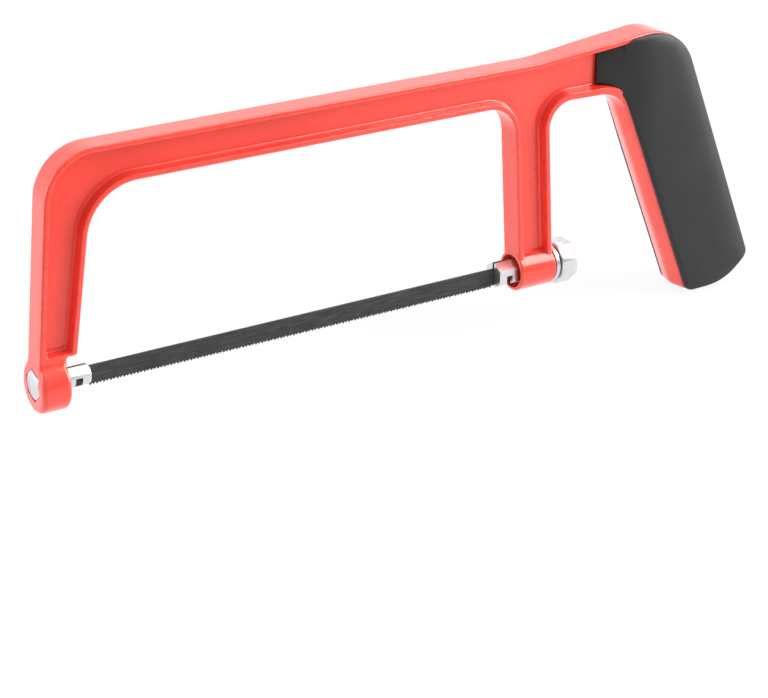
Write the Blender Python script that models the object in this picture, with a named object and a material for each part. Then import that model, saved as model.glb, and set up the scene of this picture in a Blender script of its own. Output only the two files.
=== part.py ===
"""Mini hacksaw: a die-cast bow frame with a pinned blade tensioned by a knob at the handle end.

The saw is modelled in its own blade frame: X runs from the nose to the handle with zero at the front
blade pin, Y runs across the saw with zero on its mid-plane, and Z is up with zero on the axis of the
two studs. An empty carries every piece, so that the world origin falls on the middle of the hand grip.
"""
import math

import bmesh
import bpy
from mathutils import Matrix, Vector

MM = 0.001

# Blade and its two cross pins
BLADE_LENGTH = 150.0 * MM
PIN_MARGIN = 2.5 * MM
BLADE_HEIGHT = 6.0 * MM
BLADE_THICKNESS = 0.65 * MM
BLADE_DROP = 0.8 * MM
TOOTH_PITCH = 1.06 * MM
TOOTH_DEPTH = 0.55 * MM
TOOTH_MARGIN = 6.5 * MM
PIN_RADIUS = 0.85 * MM
PIN_LENGTH = 4.8 * MM

# Clearances
SEAT_GAP = 0.3 * MM
PIN_GAP = 0.2 * MM
SLOT_GAP = 0.15 * MM

# Bow: back, front arm and rear post
BACK_TOP = 67.3 * MM
BACK_HEIGHT = 11.7 * MM
ARM_REACH = 12.7 * MM
ARM_WIDTH = 10.8 * MM
ARM_END = 7.3 * MM
ARM_OUTER_LEAN = math.radians(5.65)
ARM_INNER_LEAN = math.radians(8.65)
POST_SETBACK = 3.4 * MM
POST_WIDTH = 12.4 * MM
POST_END = 2.0 * MM
POST_LEAN = math.radians(-3.25)

# Handle: lower rear part of the bow
HAND_GAP = 45.4 * MM
HAND_GAP_TOP = 53.7 * MM
HANDLE_LEAN = math.radians(-22.0)
HANDLE_WIDTH = 26.9 * MM
HANDLE_FOOT = 19.2 * MM
HANDLE_FOOT_ANGLE = math.radians(19.2)
HANDLE_BELLY = 0.185
HANDLE_CROWN = 1.2 * MM
HUMP_SETBACK = 9.0 * MM
HUMP_SLOPE = math.radians(5.65)

# Corner radii of the bow's outline
OUTER_CORNER = 15.5 * MM
INNER_CORNER = 16.0 * MM
THROAT_CORNER = 10.0 * MM
GAP_FRONT_CORNER = 8.0 * MM
GAP_REAR_CORNER = 9.0 * MM
FOOT_CORNER = 3.2 * MM
FOOT_CURVE = 20.0 * MM
HEEL_CORNER = 2.2 * MM
HUMP_CORNER = 17.5 * MM
HUMP_BEND = 60.0 * MM
END_CORNER = 1.0 * MM
POCKET_CORNER = 1.0 * MM

# I-section of the casting
FRAME_THICKNESS = 8.75 * MM
HANDLE_THICKNESS = 11.1 * MM
FLARE_LENGTH = 31.0 * MM
FLANGE = 1.7 * MM
WEB = 2.6 * MM
POCKET_DRAFT = math.radians(8.0)
POCKET_FILLET = 0.65 * MM
EDGE_ROUND = 0.6 * MM

# Nose boss and front anchor
NOSE_RADIUS = 7.7 * MM
NOSE_FORWARD = 0.2 * MM
NOSE_DROP = 0.3 * MM
NOSE_LENGTH = 9.0 * MM
NOSE_NECK = 8.5 * MM
NOSE_CREASE = 0.6 * MM
NOSE_ROUND = 1.2 * MM
ANCHOR_ACROSS_FLATS = 8.0 * MM
ANCHOR_TURN = math.radians(-11.0)
ANCHOR_HEAD = 3.6 * MM
ANCHOR_RADIUS = 3.0 * MM
ANCHOR_REACH = 3.8 * MM

# Rear boss, tension stud, washer and knob
BOSS_RADIUS = 6.4 * MM
BOSS_OVERHANG = 0.4 * MM
BOSS_REAR_OVERHANG = 0.3 * MM
BOSS_ROUND = 0.5 * MM
BORE_RADIUS = 5.3 * MM
BORE_DEPTH = 3.6 * MM
STUD_ACROSS_FLATS = 7.6 * MM
STUD_REACH = 3.7 * MM
STUD_HEX_LENGTH = 15.6 * MM
STUD_CHAMFER = 0.45 * MM
STUD_TRAVEL = 4.0 * MM
THREAD_RADIUS = 3.0 * MM
THREAD_END_GAP = 0.6 * MM
WASHER_RADIUS = 6.3 * MM
WASHER_THICKNESS = 1.5 * MM
KNOB_RADIUS = 7.1 * MM
KNOB_LENGTH = 5.9 * MM
KNOB_WALL = 1.0 * MM
KNOB_EDGE = 1.2 * MM
FLUTE_COUNT = 8
FLUTE_RADIUS = 1.7 * MM
FLUTE_DEPTH = 0.75 * MM

# Grip panels
GRIP_SETBACK = 30.5 * MM
GRIP_THICKNESS = 15.4 * MM
GRIP_FRONT_EDGE = 0.55 * MM
GRIP_STEP = 8.0 * MM
GRIP_STEP_LEAN = math.radians(9.0)
GRIP_RAMP = 20.5 * MM
GRIP_EDGE_DEPTH = 1.0 * MM
GRIP_FINGER_EDGE = 0.5 * MM
GRIP_PALM_EDGE = 1.4 * MM
GRIP_TOP_EDGE = 1.8 * MM
GRIP_TOP_INSET = 0.5 * MM
GRIP_CORNER = 5.0 * MM

# Middle of the hand grip, up from the studs' axis
GRIP_HEIGHT = 25.0 * MM

# Fineness of round forms
ARC_STEP = math.radians(10.0)
ROUND_SIDES = 32
PIN_SIDES = 12
HEX_SIDES = 6
HEX_UPRIGHT = math.radians(30.0)
RAMP_STEPS = 8

# Values worked out from the sizes above
PIN_SPACING = BLADE_LENGTH - 2.0 * PIN_MARGIN
UNDERSIDE = BACK_TOP - BACK_HEIGHT
POST_FOOT = PIN_SPACING + POST_SETBACK
HANDLE_FRONT_FOOT = POST_FOOT + POST_WIDTH + HAND_GAP
HANDLE_REAR_FOOT = HANDLE_FRONT_FOOT + HANDLE_WIDTH / math.cos(HANDLE_LEAN)
HUMP_START = PIN_SPACING + HUMP_SETBACK
ANCHOR_HEX_RADIUS = ANCHOR_ACROSS_FLATS / math.sqrt(3.0)
STUD_HEX_RADIUS = STUD_ACROSS_FLATS / math.sqrt(3.0)
NOSE_FRONT = -ARM_REACH - NOSE_FORWARD
BOSS_FRONT = POST_FOOT - BOSS_OVERHANG
BOSS_REAR = POST_FOOT + POST_WIDTH + BOSS_REAR_OVERHANG
WASHER_FRONT = BOSS_REAR + SEAT_GAP
KNOB_FRONT = WASHER_FRONT + WASHER_THICKNESS + SEAT_GAP
KNOB_REAR = KNOB_FRONT + KNOB_LENGTH
STUD_FRONT = PIN_SPACING - STUD_REACH
GRIP_FRONT = PIN_SPACING + GRIP_SETBACK
GRIP_CENTRE_X = 0.5 * (HANDLE_FRONT_FOOT + HANDLE_REAR_FOOT) + math.tan(HANDLE_LEAN) * GRIP_HEIGHT
FLARE = HANDLE_THICKNESS / FRAME_THICKNESS

# Colours: base colour, roughness and metallic value
RED_PAINT = ((0.80, 0.045, 0.03, 1.0), 0.3, 0.0)
BLACK_GRIP = ((0.055, 0.052, 0.053, 1.0), 0.6, 0.0)
CHROME = ((0.82, 0.82, 0.83, 1.0), 0.12, 1.0)
BLACK_STEEL = ((0.045, 0.043, 0.045, 1.0), 0.45, 0.6)


# Scene, materials and object helpers

def clear_scene():
    """Remove every object that the file starts with."""
    for item in list(bpy.data.objects):
        bpy.data.objects.remove(item, do_unlink=True)


def new_collection(name):
    """A collection linked to the scene."""
    collection = bpy.data.collections.new(name)
    bpy.context.scene.collection.children.link(collection)
    return collection


def new_material(name, look):
    """A Principled material from a base colour, a roughness and a metallic value."""
    colour, roughness, metallic = look
    material = bpy.data.materials.new(name)
    material.use_nodes = True
    shader = material.node_tree.nodes["Principled BSDF"]
    shader.inputs["Base Color"].default_value = colour
    shader.inputs["Roughness"].default_value = roughness
    shader.inputs["Metallic"].default_value = metallic
    return material


class Workshop:
    """Holds the collections and the carrying empty, and makes objects in them."""

    def __init__(self):
        self.parts = new_collection("mini_hacksaw")
        self.cutters = new_collection("mini_hacksaw_cutters")
        self.carrier = bpy.data.objects.new("saw_carrier", None)
        self.carrier.location = (-GRIP_CENTRE_X, 0.0, -GRIP_HEIGHT)
        self.parts.objects.link(self.carrier)

    def add(self, name, bm, collection, origin):
        """An object from a bmesh in blade-frame coordinates, with its origin at a given point."""
        bmesh.ops.recalc_face_normals(bm, faces=bm.faces)
        bmesh.ops.translate(bm, verts=bm.verts, vec=-Vector(origin))
        mesh = bpy.data.meshes.new(name)
        bm.to_mesh(mesh)
        bm.free()
        item = bpy.data.objects.new(name, mesh)
        collection.objects.link(item)
        item.parent = self.carrier
        item.location = origin
        return item

    def part(self, name, bm, look, origin=(0.0, 0.0, 0.0)):
        """A visible piece with its own material."""
        item = self.add(name, bm, self.parts, origin)
        item.data.materials.append(new_material(name, look))
        item.data.shade_smooth()
        item.data.set_sharp_from_angle(angle=math.radians(30.0))
        return item

    def combine(self, body, name, bm, operation):
        """Cut a shape from a body, or join it on, with a live Boolean."""
        tool = self.add(name, bm, self.cutters, (0.0, 0.0, 0.0))
        tool.hide_render = True
        tool.display_type = "WIRE"
        modifier = body.modifiers.new(name, "BOOLEAN")
        modifier.operation = operation
        modifier.solver = "EXACT"
        modifier.object = tool


# Outlines in the XZ plane, as corners (x, z, radius) going anticlockwise

def lean_x(foot, lean, height):
    """X of a leaning line at a height, from where it crosses the studs' axis."""
    return foot + math.tan(lean) * height


def meet(point_a, angle_a, point_b, angle_b):
    """Where two lines in the XZ plane cross, each given by a point and a direction angle."""
    ax, az = math.cos(angle_a), math.sin(angle_a)
    bx, bz = math.cos(angle_b), math.sin(angle_b)
    span_x = point_b[0] - point_a[0]
    span_z = point_b[1] - point_a[1]
    reach = (span_x * bz - span_z * bx) / (ax * bz - az * bx)
    return point_a[0] + reach * ax, point_a[1] + reach * az


def turn_at(corners, index):
    """Signed angle turned at a corner: positive where the outline is convex."""
    before = corners[index - 1]
    here = corners[index]
    after = corners[(index + 1) % len(corners)]
    arriving = math.atan2(here[1] - before[1], here[0] - before[0])
    leaving = math.atan2(after[1] - here[1], after[0] - here[0])
    return (leaving - arriving + math.pi) % (2.0 * math.pi) - math.pi


def inset(corners, distances):
    """Move each edge of an outline inwards by its own distance."""
    count = len(corners)
    lines = []
    for i in range(count):
        start, end = corners[i], corners[(i + 1) % count]
        angle = math.atan2(end[1] - start[1], end[0] - start[0])
        shift_x = -distances[i] * math.sin(angle)
        shift_z = distances[i] * math.cos(angle)
        lines.append(((start[0] + shift_x, start[1] + shift_z), angle))
    moved = []
    for i in range(count):
        x, z = meet(*lines[i - 1], *lines[i])
        radius = corners[i][2]
        change = 0.5 * (distances[i - 1] + distances[i])
        if turn_at(corners, i) < 0.0:
            radius += change
        else:
            radius = max(radius - change, min(radius, POCKET_CORNER))
        moved.append((x, z, radius))
    return moved


def inset_all(corners, distance):
    """Move every edge of an outline inwards by one distance."""
    return inset(corners, [distance] * len(corners))


def round_off(corners):
    """Points along an outline, with each corner turned on its radius."""
    points = []
    count = len(corners)
    for i, (x, z, radius) in enumerate(corners):
        turn = turn_at(corners, i)
        before = corners[i - 1]
        arriving = math.atan2(z - before[1], x - before[0])
        tangent = radius * math.tan(abs(turn) / 2.0)
        start_x = x - tangent * math.cos(arriving)
        start_z = z - tangent * math.sin(arriving)
        side = math.copysign(1.0, turn)
        centre_x = start_x - side * radius * math.sin(arriving)
        centre_z = start_z + side * radius * math.cos(arriving)
        steps = max(2, math.ceil(abs(turn) / ARC_STEP))
        for k in range(steps + 1):
            angle = arriving + turn * k / steps
            points.append((centre_x + side * radius * math.sin(angle),
                           centre_z - side * radius * math.cos(angle)))
    return points


def handle_corners(front_inset, gap_corner):
    """Corners that the handle's outline shares with its grip panels, from the gap round to the hump."""
    shift = front_inset - HANDLE_CROWN
    front_foot = HANDLE_FRONT_FOOT + shift / math.cos(HANDLE_LEAN)
    toe = (lean_x(front_foot, HANDLE_LEAN, -HANDLE_FOOT), -HANDLE_FOOT)
    upright = math.pi / 2.0 - HANDLE_LEAN
    heel = meet(toe, HANDLE_FOOT_ANGLE, (HANDLE_REAR_FOOT, 0.0), upright)
    belly = (0.5 * (toe[0] + heel[0]) + HANDLE_BELLY * (heel[1] - toe[1]),
             0.5 * (toe[1] + heel[1]) - HANDLE_BELLY * (heel[0] - toe[0]))
    hump = meet((HUMP_START, BACK_TOP), HUMP_SLOPE, (HANDLE_REAR_FOOT, 0.0), upright)
    return [
        (lean_x(front_foot, HANDLE_LEAN, HAND_GAP_TOP), HAND_GAP_TOP, gap_corner),
        (*toe, FOOT_CORNER),
        (*belly, FOOT_CURVE),
        (*heel, HEEL_CORNER),
        (*hump, HUMP_CORNER),
    ]


def bow_corners(front_inset, gap_corner):
    """Corners of the whole bow, with the finger side of the handle set back by its crown."""
    arm_outer = -ARM_REACH
    arm_inner = ARM_WIDTH - ARM_REACH
    post_rear = POST_FOOT + POST_WIDTH
    return [
        (lean_x(arm_outer, ARM_OUTER_LEAN, ARM_END), ARM_END, END_CORNER),
        (lean_x(arm_inner, ARM_INNER_LEAN, ARM_END), ARM_END, END_CORNER),
        (lean_x(arm_inner, ARM_INNER_LEAN, UNDERSIDE), UNDERSIDE, INNER_CORNER),
        (lean_x(POST_FOOT, POST_LEAN, UNDERSIDE), UNDERSIDE, THROAT_CORNER),
        (lean_x(POST_FOOT, POST_LEAN, POST_END), POST_END, END_CORNER),
        (lean_x(post_rear, POST_LEAN, POST_END), POST_END, END_CORNER),
        (lean_x(post_rear, POST_LEAN, HAND_GAP_TOP), HAND_GAP_TOP, GAP_FRONT_CORNER),
        *handle_corners(front_inset, gap_corner),
        (HUMP_START, BACK_TOP, HUMP_BEND),
        (lean_x(arm_outer, ARM_OUTER_LEAN, BACK_TOP), BACK_TOP, OUTER_CORNER),
    ]


# Solids

def loft(rings):
    """A closed bmesh through rings of points that match one to one."""
    bm = bmesh.new()
    loops = [[bm.verts.new(point) for point in ring] for ring in rings]
    bm.faces.new(loops[0])
    bm.faces.new(reversed(loops[-1]))
    for lower, upper in zip(loops, loops[1:]):
        for i in range(len(lower)):
            bm.faces.new((lower[i - 1], upper[i - 1], upper[i], lower[i]))
    return bm


def plate(points, low, high):
    """A flat XZ outline given thickness along Y."""
    return loft([[(x, y, z) for x, z in points] for y in (low, high)])


def block(low, high):
    """A box between two corners."""
    bm = bmesh.new()
    bmesh.ops.create_cube(bm, size=1.0)
    low, high = Vector(low), Vector(high)
    bmesh.ops.scale(bm, verts=bm.verts, vec=high - low)
    bmesh.ops.translate(bm, verts=bm.verts, vec=(low + high) / 2.0)
    return bm


def rod(radius, start, end, sides, centre=(0.0, 0.0), turn=HEX_UPRIGHT):
    """A round or hexagonal bar along X with its centre at (y, z). A hexagon stands on a corner."""
    bm = bmesh.new()
    along = Matrix.Rotation(turn, 4, "X") @ Matrix.Rotation(math.pi / 2.0, 4, "Y")
    place = Matrix.Translation(((start + end) / 2.0, *centre)) @ along
    bmesh.ops.create_cone(bm, cap_ends=True, segments=sides, radius1=radius, radius2=radius,
                          depth=end - start, matrix=place)
    return bm


def turned(profile, closed):
    """A turned shape about the studs' axis from (x, radius) points: a ring if the profile is closed."""
    bm = bmesh.new()
    verts = [bm.verts.new((x, radius, 0.0)) for x, radius in profile]
    edges = [bm.edges.new(pair) for pair in zip(verts, verts[1:])]
    if closed:
        edges.append(bm.edges.new((verts[-1], verts[0])))
    bmesh.ops.spin(bm, geom=verts + edges, cent=(0.0, 0.0, 0.0), axis=(1.0, 0.0, 0.0),
                   angle=2.0 * math.pi, steps=ROUND_SIDES, use_merge=True)
    bmesh.ops.remove_doubles(bm, verts=bm.verts, dist=0.001 * MM)
    return bm


def cross_pin(x, z, radius, half_length):
    """A round bar along Y."""
    bm = bmesh.new()
    place = Matrix.Translation((x, 0.0, z)) @ Matrix.Rotation(math.pi / 2.0, 4, "X")
    bmesh.ops.create_cone(bm, cap_ends=True, segments=PIN_SIDES, radius1=radius, radius2=radius,
                          depth=2.0 * half_length, matrix=place)
    return bm


# Frame

def pocket_levels(gap):
    """Insets and heights down the pocket wall, from the flange edge to the web."""
    half = FRAME_THICKNESS / 2.0
    drafted = FLANGE + (half - WEB / 2.0 - POCKET_FILLET) * math.tan(POCKET_DRAFT)
    return [
        (FLANGE + gap, half),
        (drafted + gap, WEB / 2.0 + POCKET_FILLET),
        (drafted + POCKET_FILLET + gap, WEB / 2.0),
    ]


def bow_solid():
    """The I-section bow: pocket, flange, rounded rim, and the same mirrored on the other side."""
    half = FRAME_THICKNESS / 2.0
    mid_round = EDGE_ROUND * (1.0 - math.sqrt(0.5))
    pocket = [(distance, y, GRIP_CORNER) for distance, y in reversed(pocket_levels(0.0))]
    rim = [(EDGE_ROUND, half), (mid_round, half - mid_round), (0.0, half - EDGE_ROUND)]
    one_side = pocket + [(distance, y, GAP_REAR_CORNER) for distance, y in rim]
    near = [(distance, -y, corner) for distance, y, corner in one_side]
    middle = [(0.0, 0.0, GAP_REAR_CORNER)]
    rings = []
    for distance, y, corner in near + middle + list(reversed(one_side)):
        corners = bow_corners(HANDLE_CROWN * abs(y) / half, corner)
        rings.append([(x, y, z) for x, z in round_off(inset_all(corners, distance))])
    return loft(rings)


def flare(bm):
    """Widen the casting towards the handle."""
    ramp_end = HUMP_START + FLARE_LENGTH
    for x in (HUMP_START, ramp_end):
        geometry = bm.verts[:] + bm.edges[:] + bm.faces[:]
        bmesh.ops.bisect_plane(bm, geom=geometry, plane_co=(x, 0.0, 0.0), plane_no=(1.0, 0.0, 0.0))
    for vert in bm.verts:
        share = min(max((vert.co.x - HUMP_START) / FLARE_LENGTH, 0.0), 1.0)
        vert.co.y *= 1.0 + (FLARE - 1.0) * share


def nose_solid():
    """Front lobe of the casting: a barrel with a neck up into the arm, leaning with it above the stud."""
    neck = FRAME_THICKNESS / 2.0 - 0.02 * MM
    radius = NOSE_RADIUS
    crease = math.sqrt(radius ** 2 - neck ** 2)
    half_angle = 0.5 * math.atan2(crease, neck)
    shoulder = radius * math.tan(half_angle)
    left = [
        (-neck, NOSE_NECK, END_CORNER),
        (-neck, crease, NOSE_CREASE),
        (-radius, shoulder, radius - NOSE_CREASE),
        (-radius, -radius, 0.99 * radius),
    ]
    left = [(y, z - NOSE_DROP, corner) for y, z, corner in left]
    section = left + [(-y, z, corner) for y, z, corner in reversed(left)]
    rear = NOSE_FRONT + NOSE_LENGTH
    mid_round = NOSE_ROUND * (1.0 - math.sqrt(0.5))
    ends = [(NOSE_ROUND, 0.0), (mid_round, mid_round), (0.0, NOSE_ROUND)]
    rings = []
    for distance, depth in ends:
        ring = round_off(inset_all(section, distance))
        rings.append([(lean_x(NOSE_FRONT + depth, ARM_OUTER_LEAN, max(z, 0.0)), y, z) for y, z in ring])
    for distance, depth in reversed(ends):
        rings.append([(rear - depth, y, z) for y, z in round_off(inset_all(section, distance))])
    return loft(rings)


def boss_solid():
    """Rear boss: a barrel along the studs' axis."""
    return turned([
        (BOSS_FRONT, 0.0),
        (BOSS_FRONT, BOSS_RADIUS - BOSS_ROUND),
        (BOSS_FRONT + BOSS_ROUND, BOSS_RADIUS),
        (BOSS_REAR - BOSS_ROUND, BOSS_RADIUS),
        (BOSS_REAR, BOSS_RADIUS - BOSS_ROUND),
        (BOSS_REAR, 0.0),
    ], closed=False)


def make_frame(shop):
    """The casting: bow, nose and rear boss in one, with the stud bores cut."""
    bm = bow_solid()
    flare(bm)
    frame = shop.part("frame", bm, RED_PAINT)
    shop.combine(frame, "nose", nose_solid(), "UNION")
    shop.combine(frame, "boss", boss_solid(), "UNION")
    head = rod(ANCHOR_HEX_RADIUS + SEAT_GAP, NOSE_FRONT - NOSE_LENGTH, NOSE_FRONT + ANCHOR_HEAD + SEAT_GAP,
               HEX_SIDES, turn=HEX_UPRIGHT + ANCHOR_TURN)
    shop.combine(frame, "head_pocket", head, "DIFFERENCE")
    shank = rod(ANCHOR_RADIUS + SEAT_GAP, NOSE_FRONT, NOSE_FRONT + 2.0 * NOSE_LENGTH, ROUND_SIDES)
    shop.combine(frame, "shank_hole", shank, "DIFFERENCE")
    bore = rod(BORE_RADIUS, BOSS_FRONT - BORE_DEPTH, BOSS_FRONT + BORE_DEPTH, ROUND_SIDES)
    shop.combine(frame, "stud_bore", bore, "DIFFERENCE")
    guide = rod(STUD_HEX_RADIUS + SEAT_GAP, BOSS_FRONT, BOSS_REAR + BORE_DEPTH, HEX_SIDES)
    shop.combine(frame, "stud_guide", guide, "DIFFERENCE")


# Grip panels

def grip_corners():
    """Corners of a panel's outline, level with the handle's flange and cut off at its front end."""
    handle = handle_corners(HANDLE_CROWN, GRIP_CORNER)
    top = meet(handle[-1][:2], HUMP_SLOPE, (GRIP_FRONT, 0.0), math.pi / 2.0)
    return [(GRIP_FRONT, HAND_GAP_TOP, POCKET_CORNER), *handle, (*top, POCKET_CORNER)]


def grip_rings(levels, side):
    """Rings of a panel from insets (gap, finger side, palm side, top) and heights off the mid-plane."""
    rings = []
    for gap, finger, palm, top, y in levels:
        corners = inset(grip_corners(), [gap, finger, finger, finger, palm, top, 0.0])
        rings.append([(x, side * y, z) for x, z in round_off(corners)])
    return rings


def grip_plug(side):
    """The part of a panel that fills the pocket of the casting."""
    walls = pocket_levels(SEAT_GAP)
    heights = [y * FLARE for _, y in walls]
    heights[-1] += SEAT_GAP
    distances = [distance for distance, _ in walls]
    distances.insert(0, distances[0])
    heights.insert(0, GRIP_THICKNESS / 2.0 - GRIP_EDGE_DEPTH / 2.0)
    return loft(grip_rings([(d, d, d, d, y) for d, y in zip(distances, heights)], side))


def grip_slab(side):
    """The part of a panel that stands proud and covers the flange, behind the step."""
    seat = HANDLE_THICKNESS / 2.0 + SEAT_GAP
    face = GRIP_THICKNESS / 2.0
    mid = 1.0 - math.sqrt(0.5)
    levels = []
    steps = [(0.0, seat), (0.0, face - GRIP_EDGE_DEPTH), (mid, face - mid * GRIP_EDGE_DEPTH), (1.0, face)]
    for share, y in steps:
        finger = share * GRIP_FINGER_EDGE
        top = GRIP_TOP_INSET + share * GRIP_TOP_EDGE
        levels.append((FLANGE + finger, finger, share * GRIP_PALM_EDGE, top, y))
    bm = loft(grip_rings(levels, side))
    middle = 0.5 * (HAND_GAP_TOP + BACK_TOP)
    bmesh.ops.bisect_plane(bm, geom=bm.verts[:] + bm.edges[:] + bm.faces[:],
                           plane_co=(GRIP_FRONT + GRIP_STEP, 0.0, middle),
                           plane_no=(-math.cos(GRIP_STEP_LEAN), 0.0, math.sin(GRIP_STEP_LEAN)),
                           clear_outer=True)
    bmesh.ops.holes_fill(bm, edges=[edge for edge in bm.edges if edge.is_boundary])
    return bm


def grip_scoop(side):
    """Cutter that lets a panel's face dive into the pocket towards its front end."""
    face = GRIP_THICKNESS / 2.0
    low = FLARE * WEB / 2.0 + SEAT_GAP + GRIP_FRONT_EDGE
    profile = []
    for step in range(RAMP_STEPS + 1):
        reach = step / RAMP_STEPS
        rise = math.sin(reach * math.pi / 2.0)
        profile.append((GRIP_FRONT + reach * GRIP_RAMP, low + (face - low) * rise))
    profile.append((GRIP_FRONT + GRIP_RAMP, 2.0 * face))
    profile.append((GRIP_FRONT - GRIP_STEP, 2.0 * face))
    profile.append((GRIP_FRONT - GRIP_STEP, low))
    return loft([[(x, side * y, z) for x, y in profile] for z in (0.0, 2.0 * BACK_TOP)])


def make_grip(shop, name, side):
    """One soft panel: plug and slab in one, with its front end sunk."""
    grip = shop.part(name, grip_plug(side), BLACK_GRIP)
    shop.combine(grip, name + "_slab", grip_slab(side), "UNION")
    shop.combine(grip, name + "_scoop", grip_scoop(side), "DIFFERENCE")


# Studs, washer and knob

def slot_block(start, end):
    """Cutter for the vertical blade slot in a stud."""
    half = BLADE_THICKNESS / 2.0 + SLOT_GAP
    return block((start, -half, -NOSE_RADIUS), (end, half, NOSE_RADIUS))


def notch_block(x, run, half_width):
    """Cutter for a pin notch that is open at the bottom and runs on along X."""
    clear = PIN_RADIUS + PIN_GAP
    return block((x - clear, -half_width, -NOSE_RADIUS), (x + run + clear, half_width, clear - BLADE_DROP))


def make_front_anchor(shop):
    """Stud with a hexagonal head sunk in the nose and a slotted shank for the front pin."""
    head_front = NOSE_FRONT
    turn = HEX_UPRIGHT + ANCHOR_TURN
    head = rod(ANCHOR_HEX_RADIUS, head_front, NOSE_FRONT + ANCHOR_HEAD, HEX_SIDES, turn=turn)
    anchor = shop.part("front_anchor", head, CHROME)
    shank = rod(ANCHOR_RADIUS, head_front + 0.5 * ANCHOR_HEAD, ANCHOR_REACH, ROUND_SIDES)
    shop.combine(anchor, "anchor_shank", shank, "UNION")
    slot = slot_block(-PIN_MARGIN - SEAT_GAP, 2.0 * ANCHOR_REACH)
    shop.combine(anchor, "anchor_slot", slot, "DIFFERENCE")
    shop.combine(anchor, "anchor_notch", notch_block(0.0, 0.0, NOSE_RADIUS), "DIFFERENCE")


def make_tension_stud(shop):
    """Hexagonal stud that hooks the rear pin, with a threaded tail for the knob."""
    hex_end = STUD_FRONT + STUD_HEX_LENGTH
    tail_end = KNOB_REAR - KNOB_WALL - THREAD_END_GAP
    bar = rod(STUD_HEX_RADIUS, STUD_FRONT, hex_end, HEX_SIDES)
    stud = shop.part("tension_stud", bar, CHROME, (PIN_SPACING, 0.0, 0.0))
    shop.combine(stud, "stud_end", turned([
        (STUD_FRONT - STUD_CHAMFER, 0.0),
        (STUD_FRONT - STUD_CHAMFER, STUD_HEX_RADIUS - 2.0 * STUD_CHAMFER),
        (STUD_FRONT + STUD_CHAMFER, STUD_HEX_RADIUS),
        (hex_end + STUD_CHAMFER, STUD_HEX_RADIUS),
        (hex_end + STUD_CHAMFER, 0.0),
    ], closed=False), "INTERSECT")
    tail = rod(THREAD_RADIUS, hex_end - THREAD_RADIUS, tail_end, ROUND_SIDES)
    shop.combine(stud, "stud_thread", tail, "UNION")
    blade_end = PIN_SPACING + PIN_MARGIN + STUD_TRAVEL + SEAT_GAP
    shop.combine(stud, "stud_slot", slot_block(STUD_FRONT - STUD_REACH, blade_end), "DIFFERENCE")
    pocket = notch_block(PIN_SPACING, STUD_TRAVEL, PIN_LENGTH / 2.0 + PIN_GAP)
    shop.combine(stud, "stud_pin_pocket", pocket, "DIFFERENCE")
    shop.combine(stud, "stud_notch", notch_block(PIN_SPACING, 0.0, NOSE_RADIUS), "DIFFERENCE")


def make_washer(shop):
    """Flat ring that takes the knob's thrust."""
    hole = THREAD_RADIUS + SEAT_GAP
    rear = WASHER_FRONT + WASHER_THICKNESS
    shop.part("thrust_washer", turned([
        (WASHER_FRONT, hole),
        (WASHER_FRONT, WASHER_RADIUS),
        (rear, WASHER_RADIUS),
        (rear, hole),
    ], closed=True), CHROME, (WASHER_FRONT, 0.0, 0.0))


def make_knob(shop):
    """Fluted nut that draws the tension stud back."""
    hole = THREAD_RADIUS + SEAT_GAP
    bore_end = KNOB_REAR - KNOB_WALL
    shallow = KNOB_EDGE * (1.0 - math.sqrt(0.5))
    knob = shop.part("tension_knob", turned([
        (bore_end, 0.0),
        (bore_end, hole),
        (KNOB_FRONT, hole),
        (KNOB_FRONT, KNOB_RADIUS - shallow),
        (KNOB_FRONT + shallow, KNOB_RADIUS),
        (KNOB_REAR - KNOB_EDGE, KNOB_RADIUS),
        (KNOB_REAR - shallow, KNOB_RADIUS - shallow),
        (KNOB_REAR, KNOB_RADIUS - KNOB_EDGE),
        (KNOB_REAR, 0.0),
    ], closed=False), CHROME, (KNOB_FRONT, 0.0, 0.0))
    ring = KNOB_RADIUS + FLUTE_RADIUS - FLUTE_DEPTH
    for i in range(FLUTE_COUNT):
        angle = 2.0 * math.pi * i / FLUTE_COUNT
        centre = (ring * math.cos(angle), ring * math.sin(angle))
        cutter = rod(FLUTE_RADIUS, KNOB_FRONT - KNOB_LENGTH, KNOB_REAR + KNOB_LENGTH, PIN_SIDES, centre)
        shop.combine(knob, f"flute_{i + 1}", cutter, "DIFFERENCE")


# Blade and pins

def blade_outline():
    """Blade from the side: straight back, square ends, teeth along the lower edge raked forwards."""
    start = -PIN_MARGIN
    end = start + BLADE_LENGTH
    top = BLADE_HEIGHT / 2.0 - BLADE_DROP
    tip = top - BLADE_HEIGHT
    root = tip + TOOTH_DEPTH
    teeth = int((BLADE_LENGTH - 2.0 * TOOTH_MARGIN) / TOOTH_PITCH)
    points = [(start, top), (start, root)]
    for i in range(teeth):
        x = start + TOOTH_MARGIN + i * TOOTH_PITCH
        points.append((x, root))
        points.append((x, tip))
    points.append((start + TOOTH_MARGIN + teeth * TOOTH_PITCH, root))
    points.append((end, root))
    points.append((end, top))
    return points


def make_blade(shop):
    """Toothed strip with a hole for each cross pin."""
    half = BLADE_THICKNESS / 2.0
    blade = shop.part("blade", plate(blade_outline(), -half, half), BLACK_STEEL)
    for name, x in (("front_pin_hole", 0.0), ("rear_pin_hole", PIN_SPACING)):
        hole = cross_pin(x, -BLADE_DROP, PIN_RADIUS + PIN_GAP, BLADE_THICKNESS)
        shop.combine(blade, name, hole, "DIFFERENCE")


def make_pins(shop):
    """The two cross pins that hook into the studs."""
    for name, x in (("blade_pin_front", 0.0), ("blade_pin_rear", PIN_SPACING)):
        pin = cross_pin(x, -BLADE_DROP, PIN_RADIUS, PIN_LENGTH / 2.0)
        shop.part(name, pin, BLACK_STEEL, (x, 0.0, -BLADE_DROP))


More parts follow.
